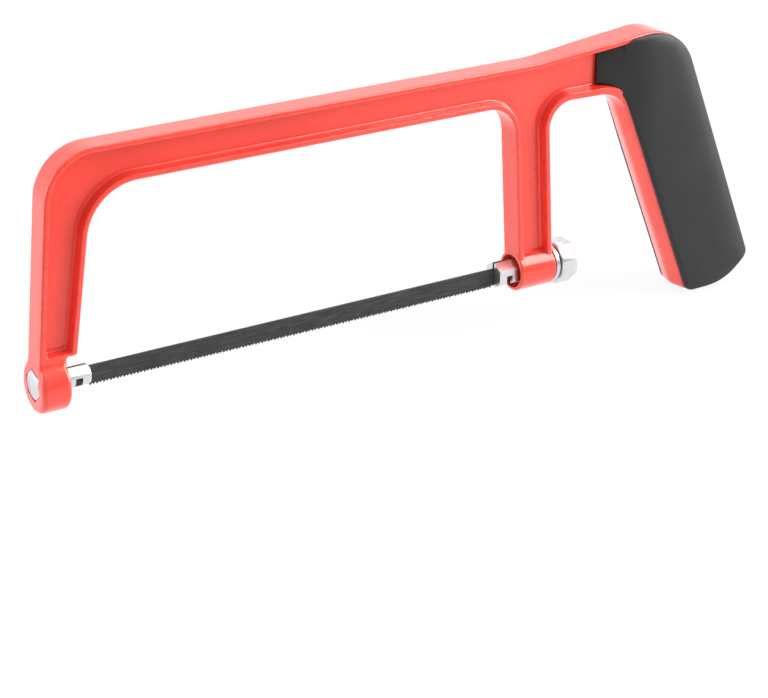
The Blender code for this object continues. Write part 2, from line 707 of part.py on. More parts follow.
def main():
    """Build every piece of the saw."""
    clear_scene()
    shop = Workshop()
    make_frame(shop)
    make_grip(shop, "grip_left", -1.0)
    make_grip(shop, "grip_right", 1.0)
    make_front_anchor(shop)
    make_tension_stud(shop)
    make_washer(shop)
    make_knob(shop)
    make_blade(shop)
    make_pins(shop)


main()
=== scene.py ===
"""Mini hacksaw dressed for its render.

A red die-cast bow carries two black hand grip panels, a chrome front anchor, and a chrome tension stud
that a fluted knob draws back against a washer. A toothed blade hangs between the two on its cross pins.

Sizes are in metres. Shapes are drawn in the blade frame: X runs from the nose to the handle with zero at the
front blade pin, Y runs across the saw, and Z is up with zero on the axis of the anchor and the stud.
"""

import logging
import math
from collections.abc import Iterable, Mapping, Sequence
from dataclasses import dataclass, replace
from enum import Enum
from typing import ClassVar

import bmesh
import bpy
from bmesh.types import BMEdge, BMesh, BMVert
from mathutils import Matrix, Vector


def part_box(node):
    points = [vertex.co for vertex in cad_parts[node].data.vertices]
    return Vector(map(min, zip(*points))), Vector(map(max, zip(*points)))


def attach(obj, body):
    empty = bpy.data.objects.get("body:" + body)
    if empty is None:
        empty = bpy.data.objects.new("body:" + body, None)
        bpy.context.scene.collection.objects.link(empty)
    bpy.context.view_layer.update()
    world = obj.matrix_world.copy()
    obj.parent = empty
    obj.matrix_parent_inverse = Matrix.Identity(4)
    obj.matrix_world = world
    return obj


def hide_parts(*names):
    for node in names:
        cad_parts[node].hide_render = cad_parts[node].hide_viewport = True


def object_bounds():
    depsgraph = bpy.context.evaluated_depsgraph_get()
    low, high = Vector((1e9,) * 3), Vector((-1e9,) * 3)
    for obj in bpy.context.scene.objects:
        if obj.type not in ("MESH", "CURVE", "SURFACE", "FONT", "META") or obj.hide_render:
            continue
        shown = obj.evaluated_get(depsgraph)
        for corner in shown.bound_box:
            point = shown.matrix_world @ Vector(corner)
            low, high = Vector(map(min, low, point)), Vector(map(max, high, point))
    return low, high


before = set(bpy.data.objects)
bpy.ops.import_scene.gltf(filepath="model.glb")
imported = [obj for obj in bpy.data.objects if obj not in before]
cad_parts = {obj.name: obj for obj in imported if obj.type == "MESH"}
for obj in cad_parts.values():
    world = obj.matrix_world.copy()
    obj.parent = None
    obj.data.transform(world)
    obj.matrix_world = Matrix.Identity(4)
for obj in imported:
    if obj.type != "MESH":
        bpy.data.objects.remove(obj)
CAD_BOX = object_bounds()

LOG = logging.getLogger("mini_hacksaw")
MM = 0.001
CORNER_STEPS = 16
ROUND_STEPS = 96
ROD_SIDES = 64
HEX_SIDES = 6
HEX_UPRIGHT = math.radians(30.0)
SMOOTH_ANGLE = math.radians(32.0)
MERGE_DISTANCE = 0.001 * MM
WHITE = (1.0, 1.0, 1.0, 1.0)

Colour = tuple[float, float, float, float]
Point = tuple[float, float]
Sockets = Mapping[str | int, object]


class Body(Enum):
    """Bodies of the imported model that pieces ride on."""

    SAW_FRAME = "saw_frame"
    STUD = "stud"
    KNOB = "knob"
    BLADE_SET = "blade_set"


class Slot(Enum):
    """Material slots of the record."""

    RED_PAINT = "red_paint"
    BLACK_GRIP = "black_grip"
    CHROME = "chrome"
    BLACK_STEEL = "black_steel"


class Merge(Enum):
    """Ways to combine two solids."""

    JOIN = "UNION"
    CUT = "DIFFERENCE"
    KEEP = "INTERSECT"


class Side(Enum):
    """The two sides of the saw."""

    LEFT = -1.0
    RIGHT = 1.0


def meet(line_a: tuple[float, float, float], line_b: tuple[float, float, float]) -> Point:
    """Find where two lines in a plane cross.

    Args:
        line_a: A point (u, v) on the first line and its direction angle.
        line_b: A point (u, v) on the second line and its direction angle.

    Returns:
        The crossing point (u, v).
    """
    au, av, angle_a = line_a
    bu, bv, angle_b = line_b
    span = (bu - au) * math.sin(angle_b) - (bv - av) * math.cos(angle_b)
    reach = span / math.sin(angle_b - angle_a)
    return au + reach * math.cos(angle_a), av + reach * math.sin(angle_a)


def lean(foot: float, angle: float, height: float) -> float:
    """X of a leaning line at a height, from where it crosses the studs' axis."""
    return foot + math.tan(angle) * height


def ease(share: float) -> float:
    """Smooth step from 0 to 1."""
    share = min(max(share, 0.0), 1.0)
    return share * share * (3.0 - 2.0 * share)


def quarter(steps: int) -> list[Point]:
    """Sine and cosine of evenly spaced angles from 0 to a right angle."""
    angles = [0.5 * math.pi * step / steps for step in range(steps + 1)]
    return [(math.sin(angle), math.cos(angle)) for angle in angles]


def round_rim(face: float, radius: float, edge: float, steps: int) -> list[Point]:
    """Profile of a bar's rounded rim.

    Args:
        face: X of the bar's end face.
        radius: Radius of the bar.
        edge: Radius of the rounding, negative where the face looks along +X.
        steps: Number of steps.

    Returns:
        Points (x, radius) from the end face outwards.
    """
    points = []
    for sine, cosine in quarter(steps):
        points.append((face + edge * (1.0 - cosine), radius - abs(edge) * (1.0 - sine)))
    return points


def add_object(name: str, data: bpy.types.ID) -> bpy.types.Object:
    """Put a mesh, a light or a camera in the scene.

    Args:
        name: Name of the object.
        data: What the object shows.

    Returns:
        The object.
    """
    item = bpy.data.objects.new(name, data)
    bpy.context.scene.collection.objects.link(item)
    return item


def add_mesh(name: str, bm: BMesh) -> bpy.types.Object:
    """Put a mesh in the scene and free its source.

    Args:
        name: Name of the object and of its mesh.
        bm: The mesh, freed here.

    Returns:
        The object.
    """
    mesh = bpy.data.meshes.new(name)
    bm.to_mesh(mesh)
    bm.free()
    return add_object(name, mesh)


def aim(item: bpy.types.Object, place: Vector, gaze: Vector) -> None:
    """Stand a light or a camera at a place and turn it along its gaze."""
    item.location = place
    item.rotation_euler = gaze.to_track_quat("-Z", "Y").to_euler()


@dataclass(frozen=True)
class Corner:
    """A corner of an outline and the radius that rounds it."""

    u: float
    v: float
    radius: float


@dataclass(frozen=True)
class Outline:
    """A closed outline through rounded corners, going anticlockwise in a plane (u, v)."""

    corners: tuple[Corner, ...]
    least_radius: float = 1.0 * MM

    def heading(self, index: int) -> float:
        """Find the direction of the edge that leaves a corner.

        Args:
            index: Number of the corner.

        Returns:
            The direction's angle.
        """
        start = self.corners[index]
        end = self.corners[(index + 1) % len(self.corners)]
        return math.atan2(end.v - start.v, end.u - start.u)

    def turn(self, index: int) -> float:
        """Signed angle turned at a corner, positive where the outline is convex."""
        change = self.heading(index) - self.heading(index - 1)
        return (change + math.pi) % math.tau - math.pi

    def inset(self, distances: Sequence[float]) -> "Outline":
        """Move each edge inwards by its own distance.

        Args:
            distances: One distance for each edge, in the order of the corners that they leave.

        Returns:
            The smaller outline, with the same turn at every corner.
        """
        lines = []
        for index, (corner, distance) in enumerate(zip(self.corners, distances, strict=True)):
            angle = self.heading(index)
            u = corner.u - distance * math.sin(angle)
            v = corner.v + distance * math.cos(angle)
            lines.append((u, v, angle))
        moved = []
        for index, corner in enumerate(self.corners):
            u, v = meet(lines[index - 1], lines[index])
            change = 0.5 * (distances[index - 1] + distances[index])
            radius = corner.radius + change
            if self.turn(index) > 0.0:
                radius = max(corner.radius - change, min(corner.radius, self.least_radius))
            moved.append(Corner(u, v, radius))
        return replace(self, corners=tuple(moved))

    def trace(self, bm: BMesh, level: float) -> list[BMEdge]:
        """Draw the outline in the XZ plane as a closed loop, each corner spun on its radius.

        Args:
            bm: Mesh that takes the loop.
            level: Y of the loop.

        Returns:
            The edges of the loop.
        """
        loop: list[BMVert] = []
        for index, corner in enumerate(self.corners):
            turn = self.turn(index)
            arriving = self.heading(index - 1)
            along = Vector((math.cos(arriving), 0.0, math.sin(arriving)))
            inward = Vector((-along.z, 0.0, along.x)) * math.copysign(corner.radius, turn)
            tangent = corner.radius * math.tan(abs(turn) / 2.0)
            start = Vector((corner.u, level, corner.v)) - tangent * along
            first = bm.verts.new(start)
            known = len(bm.verts)
            bmesh.ops.spin(bm, geom=[first], cent=start + inward, axis=(0.0, -1.0, 0.0), angle=turn,
                           steps=CORNER_STEPS)
            bm.verts.ensure_lookup_table()
            loop.append(first)
            loop.extend(bm.verts[known:])
        edges = []
        for start_vert, end_vert in zip(loop, loop[1:] + loop[:1]):
            edges.append(bm.edges.get((start_vert, end_vert)) or bm.edges.new((start_vert, end_vert)))
        return edges


def loft(rings: Iterable[tuple[Outline, float]]) -> BMesh:
    """Bridge outlines that stand one behind the other along Y into a closed solid.

    Args:
        rings: Each outline and its Y, in order.

    Returns:
        The solid.
    """
    bm = bmesh.new()
    loops = [outline.trace(bm, level) for outline, level in rings]
    for lower, upper in zip(loops, loops[1:]):
        bmesh.ops.bridge_loops(bm, edges=lower + upper)
    for end in (loops[0], loops[-1]):
        bmesh.ops.edgeloop_fill(bm, edges=end)
    bmesh.ops.recalc_face_normals(bm, faces=bm.faces)
    return bm


def cut_at(bm: BMesh, point: Sequence[float], normal: Sequence[float]) -> None:
    """Add an edge loop where a plane crosses a mesh."""
    geometry = bm.verts[:] + bm.edges[:] + bm.faces[:]
    bmesh.ops.bisect_plane(bm, geom=geometry, plane_co=point, plane_no=normal)


def rod(radius: float, start: float, end: float, sides: int = ROD_SIDES, turn: float = HEX_UPRIGHT) -> BMesh:
    """Make a bar on the studs' axis.

    Args:
        radius: Radius to the corners.
        start: X of one end.
        end: X of the other end.
        sides: Number of sides. A hexagon stands on a corner.
        turn: Turn about the axis.

    Returns:
        The closed bar.
    """
    bm = bmesh.new()
    along = Matrix.Rotation(turn, 4, "X") @ Matrix.Rotation(math.pi / 2.0, 4, "Y")
    place = Matrix.Translation(((start + end) / 2.0, 0.0, 0.0)) @ along
    bmesh.ops.create_cone(bm, cap_ends=True, segments=sides, radius1=radius, radius2=radius,
                          depth=end - start, matrix=place)
    return bm


def turned(profile: Sequence[Point], closed: bool = False, steps: int = ROUND_STEPS) -> BMesh:
    """Spin a profile about the studs' axis.

    Args:
        profile: Points (x, radius).
        closed: Whether the profile is closed, which gives a ring.
        steps: Number of steps round the axis.

    Returns:
        The closed solid.
    """
    bm = bmesh.new()
    verts = [bm.verts.new((x, radius, 0.0)) for x, radius in profile]
    edges = [bm.edges.new(pair) for pair in zip(verts, verts[1:])]
    if closed:
        edges.append(bm.edges.new((verts[-1], verts[0])))
    bmesh.ops.spin(bm, geom=verts + edges, cent=(0.0, 0.0, 0.0), axis=(1.0, 0.0, 0.0), angle=math.tau,
                   steps=steps, use_merge=True)
    bmesh.ops.remove_doubles(bm, verts=bm.verts, dist=MERGE_DISTANCE)
    bmesh.ops.recalc_face_normals(bm, faces=bm.faces)
    return bm


def block(low: Sequence[float], high: Sequence[float]) -> BMesh:
    """Make a box between two corners.

    Args:
        low: The lowest corner.
        high: The highest corner.

    Returns:
        The closed box.
    """
    bm = bmesh.new()
    bmesh.ops.create_cube(bm, size=1.0)
    bmesh.ops.scale(bm, verts=bm.verts, vec=Vector(high) - Vector(low))
    bmesh.ops.translate(bm, verts=bm.verts, vec=(Vector(low) + Vector(high)) / 2.0)
    return bm


def cross_bar(radius: float, half_length: float, x: float, z: float, sides: int) -> BMesh:
    """Make a round bar along Y.

    Args:
        radius: Radius of the bar.
        half_length: Its reach to either side of the mid-plane.
        x: X of its axis.
        z: Z of its axis.
        sides: Number of sides.

    Returns:
        The closed bar.
    """
    bm = bmesh.new()
    place = Matrix.Translation((x, 0.0, z)) @ Matrix.Rotation(math.pi / 2.0, 4, "X")
    bmesh.ops.create_cone(bm, cap_ends=True, segments=sides, radius1=radius, radius2=radius,
                          depth=2.0 * half_length, matrix=place)
    return bm


class Workshop:
    """Turns meshes drawn in the blade frame into pieces of the scene."""

    EDGE = "edge"
    WEAR_ANGLE = math.radians(24.0)
    BEVEL_ANGLE = math.radians(38.0)
    BEVEL_STEPS = 2
    FLAT_WEIGHT = 60

    def __init__(self, blade_drop: float, finishes: Mapping[Slot, bpy.types.Material]) -> None:
        """Find the blade frame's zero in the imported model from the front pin.

        Args:
            blade_drop: How far the pins hang below the studs' axis.
            finishes: The material of each slot.
        """
        low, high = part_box("blade_pin_front")
        self.zero = (Vector(low) + Vector(high)) / 2.0 + Vector((0.0, 0.0, blade_drop))
        self.finishes = finishes

    def solid(self, name: str, bm: BMesh) -> bpy.types.Object:
        """Put a mesh in the scene at its place.

        Args:
            name: Name of the object.
            bm: Mesh in the blade frame, freed here.

        Returns:
            The object, at the origin with its place in its mesh.
        """
        bmesh.ops.translate(bm, verts=bm.verts, vec=self.zero)
        return add_mesh(name, bm)

    def combine(self, body: bpy.types.Object, bm: BMesh, merge: Merge) -> None:
        """Join, cut or intersect a body with another solid, and keep the result as its mesh.

        Args:
            body: The body that changes.
            bm: The other solid in the blade frame, freed here.
            merge: How the two are combined.
        """
        tool = self.solid("tool", bm)
        modifier = body.modifiers.new("combine", "BOOLEAN")
        modifier.operation = merge.value
        modifier.solver = "EXACT"
        modifier.object = tool
        bpy.context.view_layer.update()
        depsgraph = bpy.context.evaluated_depsgraph_get()
        mesh = bpy.data.meshes.new_from_object(body.evaluated_get(depsgraph))
        body.modifiers.clear()
        spare = body.data
        body.data = mesh
        bpy.data.meshes.remove(spare)
        bpy.data.meshes.remove(tool.data)

    def mark_edges(self, item: bpy.types.Object) -> None:
        """Store how sharply each vertex stands out, for wear along the edges.

        Args:
            item: The piece.
        """
        bm = bmesh.new()
        bm.from_mesh(item.data)
        layer = bm.verts.layers.float.new(self.EDGE)
        for vert in bm.verts:
            angles = [edge.calc_face_angle_signed(0.0) for edge in vert.link_edges]
            vert[layer] = ease(max(angles, default=0.0) / self.WEAR_ANGLE)
        bm.to_mesh(item.data)
        bm.free()

    def finish(self, item: bpy.types.Object, slot: Slot, body: Body, *nodes: str) -> None:
        """Shade a piece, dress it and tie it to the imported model.

        Args:
            item: The piece.
            slot: The record's slot for its finish.
            body: The body that it rides on.
            nodes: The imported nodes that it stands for.
        """
        mesh = item.data
        mesh.shade_smooth()
        mesh.set_sharp_from_angle(angle=SMOOTH_ANGLE)
        mesh.materials.clear()
        mesh.materials.append(self.finishes[slot])
        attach(item, body.value)
        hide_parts(*nodes)
        LOG.info("%s: %d faces, rides on %s", item.name, len(mesh.polygons), body.value)

    def flatten_shading(self, item: bpy.types.Object) -> None:
        """Let the large faces rule the shading, so that flats stay flat beside rounded edges.

        Args:
            item: The piece.
        """
        modifier = item.modifiers.new("flat_shading", "WEIGHTED_NORMAL")
        modifier.mode = "FACE_AREA"
        modifier.weight = self.FLAT_WEIGHT
        modifier.keep_sharp = True

    def ease_edges(self, item: bpy.types.Object, width: float) -> None:
        """Round a piece's sharp edges with a Bevel modifier.

        Args:
            item: The piece.
            width: Width of the rounding.
        """
        modifier = item.modifiers.new("eased_edges", "BEVEL")
        modifier.width = width
        modifier.segments = self.BEVEL_STEPS
        modifier.limit_method = "ANGLE"
        modifier.angle_limit = self.BEVEL_ANGLE
        modifier.use_clamp_overlap = True


class Value:
    """A number socket of a node tree that takes part in Python sums."""

    def __init__(self, tree: "NodeTree", socket: bpy.types.NodeSocket) -> None:
        """Wrap a socket of a tree."""
        self.tree = tree
        self.socket = socket

    def __add__(self, other: "Value | float") -> "Value":
        """Sum of two numbers."""
        return self.tree.maths("ADD", self, other)

    __radd__ = __add__

    def __sub__(self, other: "Value | float") -> "Value":
        """Difference of two numbers."""
        return self.tree.maths("SUBTRACT", self, other)

    def __rsub__(self, other: float) -> "Value":
        """Difference of two numbers."""
        return self.tree.maths("SUBTRACT", other, self)

    def __mul__(self, other: "Value | float") -> "Value":
        """Product of two numbers."""
        return self.tree.maths("MULTIPLY", self, other)

    def between(self, low: float, high: float) -> "Value":
        """Rise from 0 to 1 as the number goes from low to high, and hold beyond."""
        sockets = {"Value": self, "From Min": low, "From Max": high}
        return self.tree.value("ShaderNodeMapRange", "Result", sockets, interpolation_type="SMOOTHSTEP")


class NodeTree:
    """A node tree under construction."""

    def __init__(self, tree: bpy.types.NodeTree) -> None:
        """Start from an empty tree."""
        self.tree = tree
        self.tree.nodes.clear()

    def node(self, kind: str, sockets: Sockets | None = None, **settings: object) -> bpy.types.Node:
        """Add a node.

        Args:
            kind: Type of the node.
            sockets: Values or links of its input sockets, by name or number.
            settings: Values of the node's own properties.

        Returns:
            The node.
        """
        node = self.tree.nodes.new(kind)
        for name, setting in settings.items():
            setattr(node, name, setting)
        for key, value in (sockets or {}).items():
            socket = node.inputs[key]
            if isinstance(value, Value):
                self.tree.links.new(value.socket, socket)
            elif isinstance(value, bpy.types.NodeSocket):
                self.tree.links.new(value, socket)
            else:
                socket.default_value = value
        return node

    def value(self, kind: str, output: str | int, sockets: Sockets | None = None,
              **settings: object) -> Value:
        """Add a node and read a number from one of its outputs."""
        return Value(self, self.node(kind, sockets, **settings).outputs[output])

    def maths(self, operation: str, first: Value | float, second: Value | float) -> Value:
        """Add a Math node."""
        return self.value("ShaderNodeMath", 0, {0: first, 1: second}, operation=operation)

    def place(self, scale: Sequence[float] = (1.0, 1.0, 1.0)) -> bpy.types.NodeSocket:
        """Object coordinates, stretched by a scale."""
        plain = self.node("ShaderNodeTexCoord").outputs["Object"]
        return self.node("ShaderNodeMapping", {"Vector": plain, "Scale": scale}).outputs["Vector"]

    def noise(self, place: bpy.types.NodeSocket, scale: float, detail: float, rough: float = 0.5) -> Value:
        """Fractal noise at a number of waves to the metre."""
        sockets = {"Vector": place, "Scale": scale, "Detail": detail, "Roughness": rough}
        return self.value("ShaderNodeTexNoise", "Fac", sockets)

    def attribute(self, name: str) -> Value:
        """A number stored on the mesh."""
        return self.value("ShaderNodeAttribute", "Fac", attribute_name=name)

    def rays(self) -> tuple[Value, Value]:
        """Tell rays apart by where they come from.

        Returns:
            Whether a ray comes straight from the camera, and whether it was mirrored or let through.
        """
        path = self.node("ShaderNodeLightPath").outputs
        kinds = ("Camera", "Glossy", "Transmission")
        seen, glossy, through = (Value(self, path[f"Is {kind} Ray"]) for kind in kinds)
        return seen, self.maths("MAXIMUM", glossy, through)

    def mix(self, share: Value, first: object, second: object) -> bpy.types.NodeSocket:
        """Blend two colours."""
        return self.node("ShaderNodeMix", {0: share, 6: first, 7: second}, data_type="RGBA").outputs[2]

    def bump(self, height: Value, strength: float, distance: float) -> bpy.types.NodeSocket:
        """A normal that a height field disturbs."""
        sockets = {"Height": height, "Strength": strength, "Distance": distance}
        return self.node("ShaderNodeBump", sockets).outputs["Normal"]

    def close(self, shader: bpy.types.Node, output: str = "ShaderNodeOutputMaterial") -> None:
        """Lead a shader to the tree's output."""
        self.node(output, {"Surface": shader.outputs[0]})

    def surface(self, sockets: Sockets) -> None:
        """Close a material with a Principled shader."""
        self.close(self.node("ShaderNodeBsdfPrincipled", sockets))


def new_tree(name: str) -> tuple[bpy.types.Material, NodeTree]:
    """Start a new material.

    Args:
        name: Name of the material.

    Returns:
        The material and its empty node tree.
    """
    material = bpy.data.materials.new(name)
    material.use_nodes = True
    return material, NodeTree(material.node_tree)


@dataclass(frozen=True)
class RedPaint:
    """Glossy red paint under a clear coat, with a faint orange peel and thin edges."""

    colour: Colour = (0.87, 0.052, 0.035, 1.0)
    deep: Colour = (0.81, 0.043, 0.028, 1.0)
    thin: Colour = (0.89, 0.085, 0.064, 1.0)
    sheen: Colour = (1.0, 0.72, 0.48, 1.0)
    roughness: float = 0.26
    coat_roughness: float = 0.06

    def material(self) -> bpy.types.Material:
        """Build the paint's node tree.

        Returns:
            The material.
        """
        material, tree = new_tree("red_paint_coat")
        place = tree.place()
        drift = tree.noise(place, scale=38.0, detail=3.0).between(0.35, 0.7)
        flecks = tree.noise(place, scale=240.0, detail=4.0, rough=0.65).between(0.38, 0.62)
        edge = tree.attribute(Workshop.EDGE) * flecks
        body = tree.mix(drift, self.colour, self.deep)
        peel = tree.noise(place, scale=300.0, detail=1.0)
        tree.surface({
            "Base Color": tree.mix(edge * 0.55, body, self.thin),
            "Roughness": self.roughness + drift * 0.04 + edge * 0.10,
            "Specular IOR Level": 0.4,
            "Specular Tint": self.sheen,
            "Coat Weight": 1.0,
            "Coat Roughness": self.coat_roughness,
            "Normal": tree.bump(peel, strength=0.03, distance=0.04 * MM),
        })
        return material


@dataclass(frozen=True)
class BlackGrip:
    """Matt black moulded rubber with a fine spark-eroded grain."""

    colour: Colour = (0.0155, 0.0147, 0.015, 1.0)
    worn: Colour = (0.028, 0.0265, 0.027, 1.0)
    roughness: float = 0.52

    def material(self) -> bpy.types.Material:
        """Build the rubber's node tree.

        Returns:
            The material.
        """
        material, tree = new_tree("black_grip_rubber")
        place = tree.place()
        grain = tree.noise(place, scale=3200.0, detail=3.0, rough=0.6)
        smear = tree.noise(place, scale=70.0, detail=4.0, rough=0.55).between(0.4, 0.75)
        edge = tree.attribute(Workshop.EDGE)
        tree.surface({
            "Base Color": tree.mix(smear * 0.35 + edge * 0.3, self.colour, self.worn),
            "Roughness": self.roughness + (grain - 0.5) * 0.16 - smear * 0.05 - edge * 0.06,
            "Specular IOR Level": 0.4,
            "Normal": tree.bump(grain, strength=0.32, distance=0.03 * MM),
        })
        return material


@dataclass(frozen=True)
class Chrome:
    """Bright chrome plate with faint polishing lines."""

    colour: Colour = (0.76, 0.76, 0.77, 1.0)
    dull: Colour = (0.66, 0.66, 0.67, 1.0)
    roughness: float = 0.29

    def material(self) -> bpy.types.Material:
        """Build the plate's node tree.

        Returns:
            The material.
        """
        material, tree = new_tree("chrome_plate")
        place = tree.place()
        haze = tree.noise(place, scale=260.0, detail=4.0, rough=0.6).between(0.42, 0.8)
        lines = tree.noise(tree.place((9.0, 1.0, 1.0)), scale=900.0, detail=2.0)
        tree.surface({
            "Base Color": tree.mix(haze * 0.6, self.colour, self.dull),
            "Metallic": 1.0,
            "Roughness": self.roughness + haze * 0.06 + lines * 0.04,
            "Normal": tree.bump(lines, strength=0.02, distance=0.02 * MM),
        })
        return material


@dataclass(frozen=True)
class BlackSteel:
    """Blackened spring steel, rolled lengthwise, with bare metal showing where it is worn."""

    colour: Colour = (0.024, 0.0235, 0.025, 1.0)
    bare: Colour = (0.16, 0.16, 0.165, 1.0)
    roughness: float = 0.42

    def material(self) -> bpy.types.Material:
        """Build the steel's node tree.

        Returns:
            The material.
        """
        material, tree = new_tree("blackened_steel")
        rolled = tree.noise(tree.place((1.0, 24.0, 24.0)), scale=120.0, detail=5.0, rough=0.65)
        mottle = tree.noise(tree.place(), scale=300.0, detail=3.0).between(0.4, 0.75)
        edge = tree.attribute(Workshop.EDGE) * rolled.between(0.4, 0.65)
        tree.surface({
            "Base Color": tree.mix(edge * 0.4 + mottle * 0.05, self.colour, self.bare),
            "Metallic": 0.35 + edge * 0.4,
            "Roughness": self.roughness + (rolled - 0.5) * 0.06 + mottle * 0.04,
            "Normal": tree.bump(rolled, strength=0.025, distance=0.02 * MM),
        })
        return material


def make_finishes() -> dict[Slot, bpy.types.Material]:
    """Build all the finishes of the saw.

    Returns:
        The material of each slot.
    """
    return {
        Slot.RED_PAINT: RedPaint().material(),
        Slot.BLACK_GRIP: BlackGrip().material(),
        Slot.CHROME: Chrome().material(),
        Slot.BLACK_STEEL: BlackSteel().material(),
    }


@dataclass
class BladeSet:
    """Toothed blade and the two cross pins that it hangs on.

    TOOTH holds points of a tooth: shares of the pitch along the blade, and of the depth up from the tip.
    """

    TOOTH: ClassVar[tuple[Point, ...]] = ((0.0, 1.0), (0.05, 0.0), (0.22, 0.0), (0.80, 1.1))
    TIP: ClassVar[float] = 0.1
    PIN_SIDES: ClassVar[int] = 40
    PIN_EDGE_STEPS: ClassVar[int] = 3
    PIN_RIM_ANGLE: ClassVar[float] = math.radians(60.0)

    length: float = 150.0 * MM
    pin_margin: float = 2.5 * MM
    height: float = 6.0 * MM
    thickness: float = 0.65 * MM
    drop: float = 0.8 * MM
    tooth_pitch: float = 1.06 * MM
    tooth_depth: float = 0.55 * MM
    tooth_margin: float = 6.5 * MM
    tooth_set: float = 0.13 * MM
    pin_radius: float = 0.85 * MM
    pin_length: float = 4.8 * MM
    pin_gap: float = 0.2 * MM
    pin_edge: float = 0.15 * MM
    end_corner: float = 0.5 * MM
    edge: float = 0.05 * MM

    @property
    def pin_spacing(self) -> float:
        """Distance between the two pins."""
        return self.length - 2.0 * self.pin_margin

    def strip(self) -> BMesh:
        """Draw the blade: a toothed outline, extruded, its teeth set to alternate sides.

        Returns:
            The strip, without its pin holes.
        """
        bm = bmesh.new()
        start = -self.pin_margin
        end = start + self.length
        top = self.height / 2.0 - self.drop
        tip = top - self.height
        root = tip + self.tooth_depth
        count = int((self.length - 2.0 * self.tooth_margin) / self.tooth_pitch)
        nip = self.end_corner
        points = [(start + nip, top), (start, top - nip), (start, root)]
        for number in range(count):
            x = start + self.tooth_margin + number * self.tooth_pitch
            for along, up in self.TOOTH:
                points.append((x + along * self.tooth_pitch, tip + up * self.tooth_depth))
        points.extend([(start + self.tooth_margin + count * self.tooth_pitch, root), (end, root)])
        points.extend([(end, top - nip), (end - nip, top)])
        verts = [bm.verts.new((x, -self.thickness / 2.0, z)) for x, z in points]
        side = bm.faces.new(verts)
        grown = bmesh.ops.extrude_face_region(bm, geom=[side])["geom"]
        bmesh.ops.translate(bm, verts=[item for item in grown if isinstance(item, BMVert)],
                            vec=(0.0, self.thickness, 0.0))
        for vert in bm.verts:
            if vert.co.z < tip + self.TIP * self.tooth_depth:
                number = int((vert.co.x - start - self.tooth_margin) / self.tooth_pitch)
                vert.co.y += self.tooth_set * (1.0 if number % 2 else -1.0)
        bmesh.ops.recalc_face_normals(bm, faces=bm.faces)
        return bm

    def pin(self, x: float) -> BMesh:
        """Make one cross pin with eased ends.

        Args:
            x: X of its axis.

        Returns:
            The pin.
        """
        bm = cross_bar(self.pin_radius, self.pin_length / 2.0, x, -self.drop, self.PIN_SIDES)
        rims = [edge for edge in bm.edges if edge.calc_face_angle(0.0) > self.PIN_RIM_ANGLE]
        bmesh.ops.bevel(bm, geom=rims, offset=self.pin_edge, offset_type="OFFSET", affect="EDGES",
                        segments=self.PIN_EDGE_STEPS, profile=0.5, material=-1)
        return bm

    def build(self, shop: Workshop) -> None:
        """Make the blade and its pins.

        Args:
            shop: The workshop that places and dresses pieces.
        """
        blade = shop.solid("toothed_blade", self.strip())
        for end, x in (("front", 0.0), ("rear", self.pin_spacing)):
            hole = cross_bar(self.pin_radius + self.pin_gap, self.thickness, x, -self.drop, self.PIN_SIDES)
            shop.combine(blade, hole, Merge.CUT)
            pin = shop.solid(f"cross_pin_{end}", self.pin(x))
            shop.mark_edges(pin)
            shop.finish(pin, Slot.BLACK_STEEL, Body.BLADE_SET, f"blade_pin_{end}")
        shop.mark_edges(blade)
        shop.ease_edges(blade, self.edge)
        shop.finish(blade, Slot.BLACK_STEEL, Body.BLADE_SET, "blade")


@dataclass(frozen=True)
class Level:
    """One ring of the casting's I-section."""

    inset: float
    height: float
    in_pocket: bool


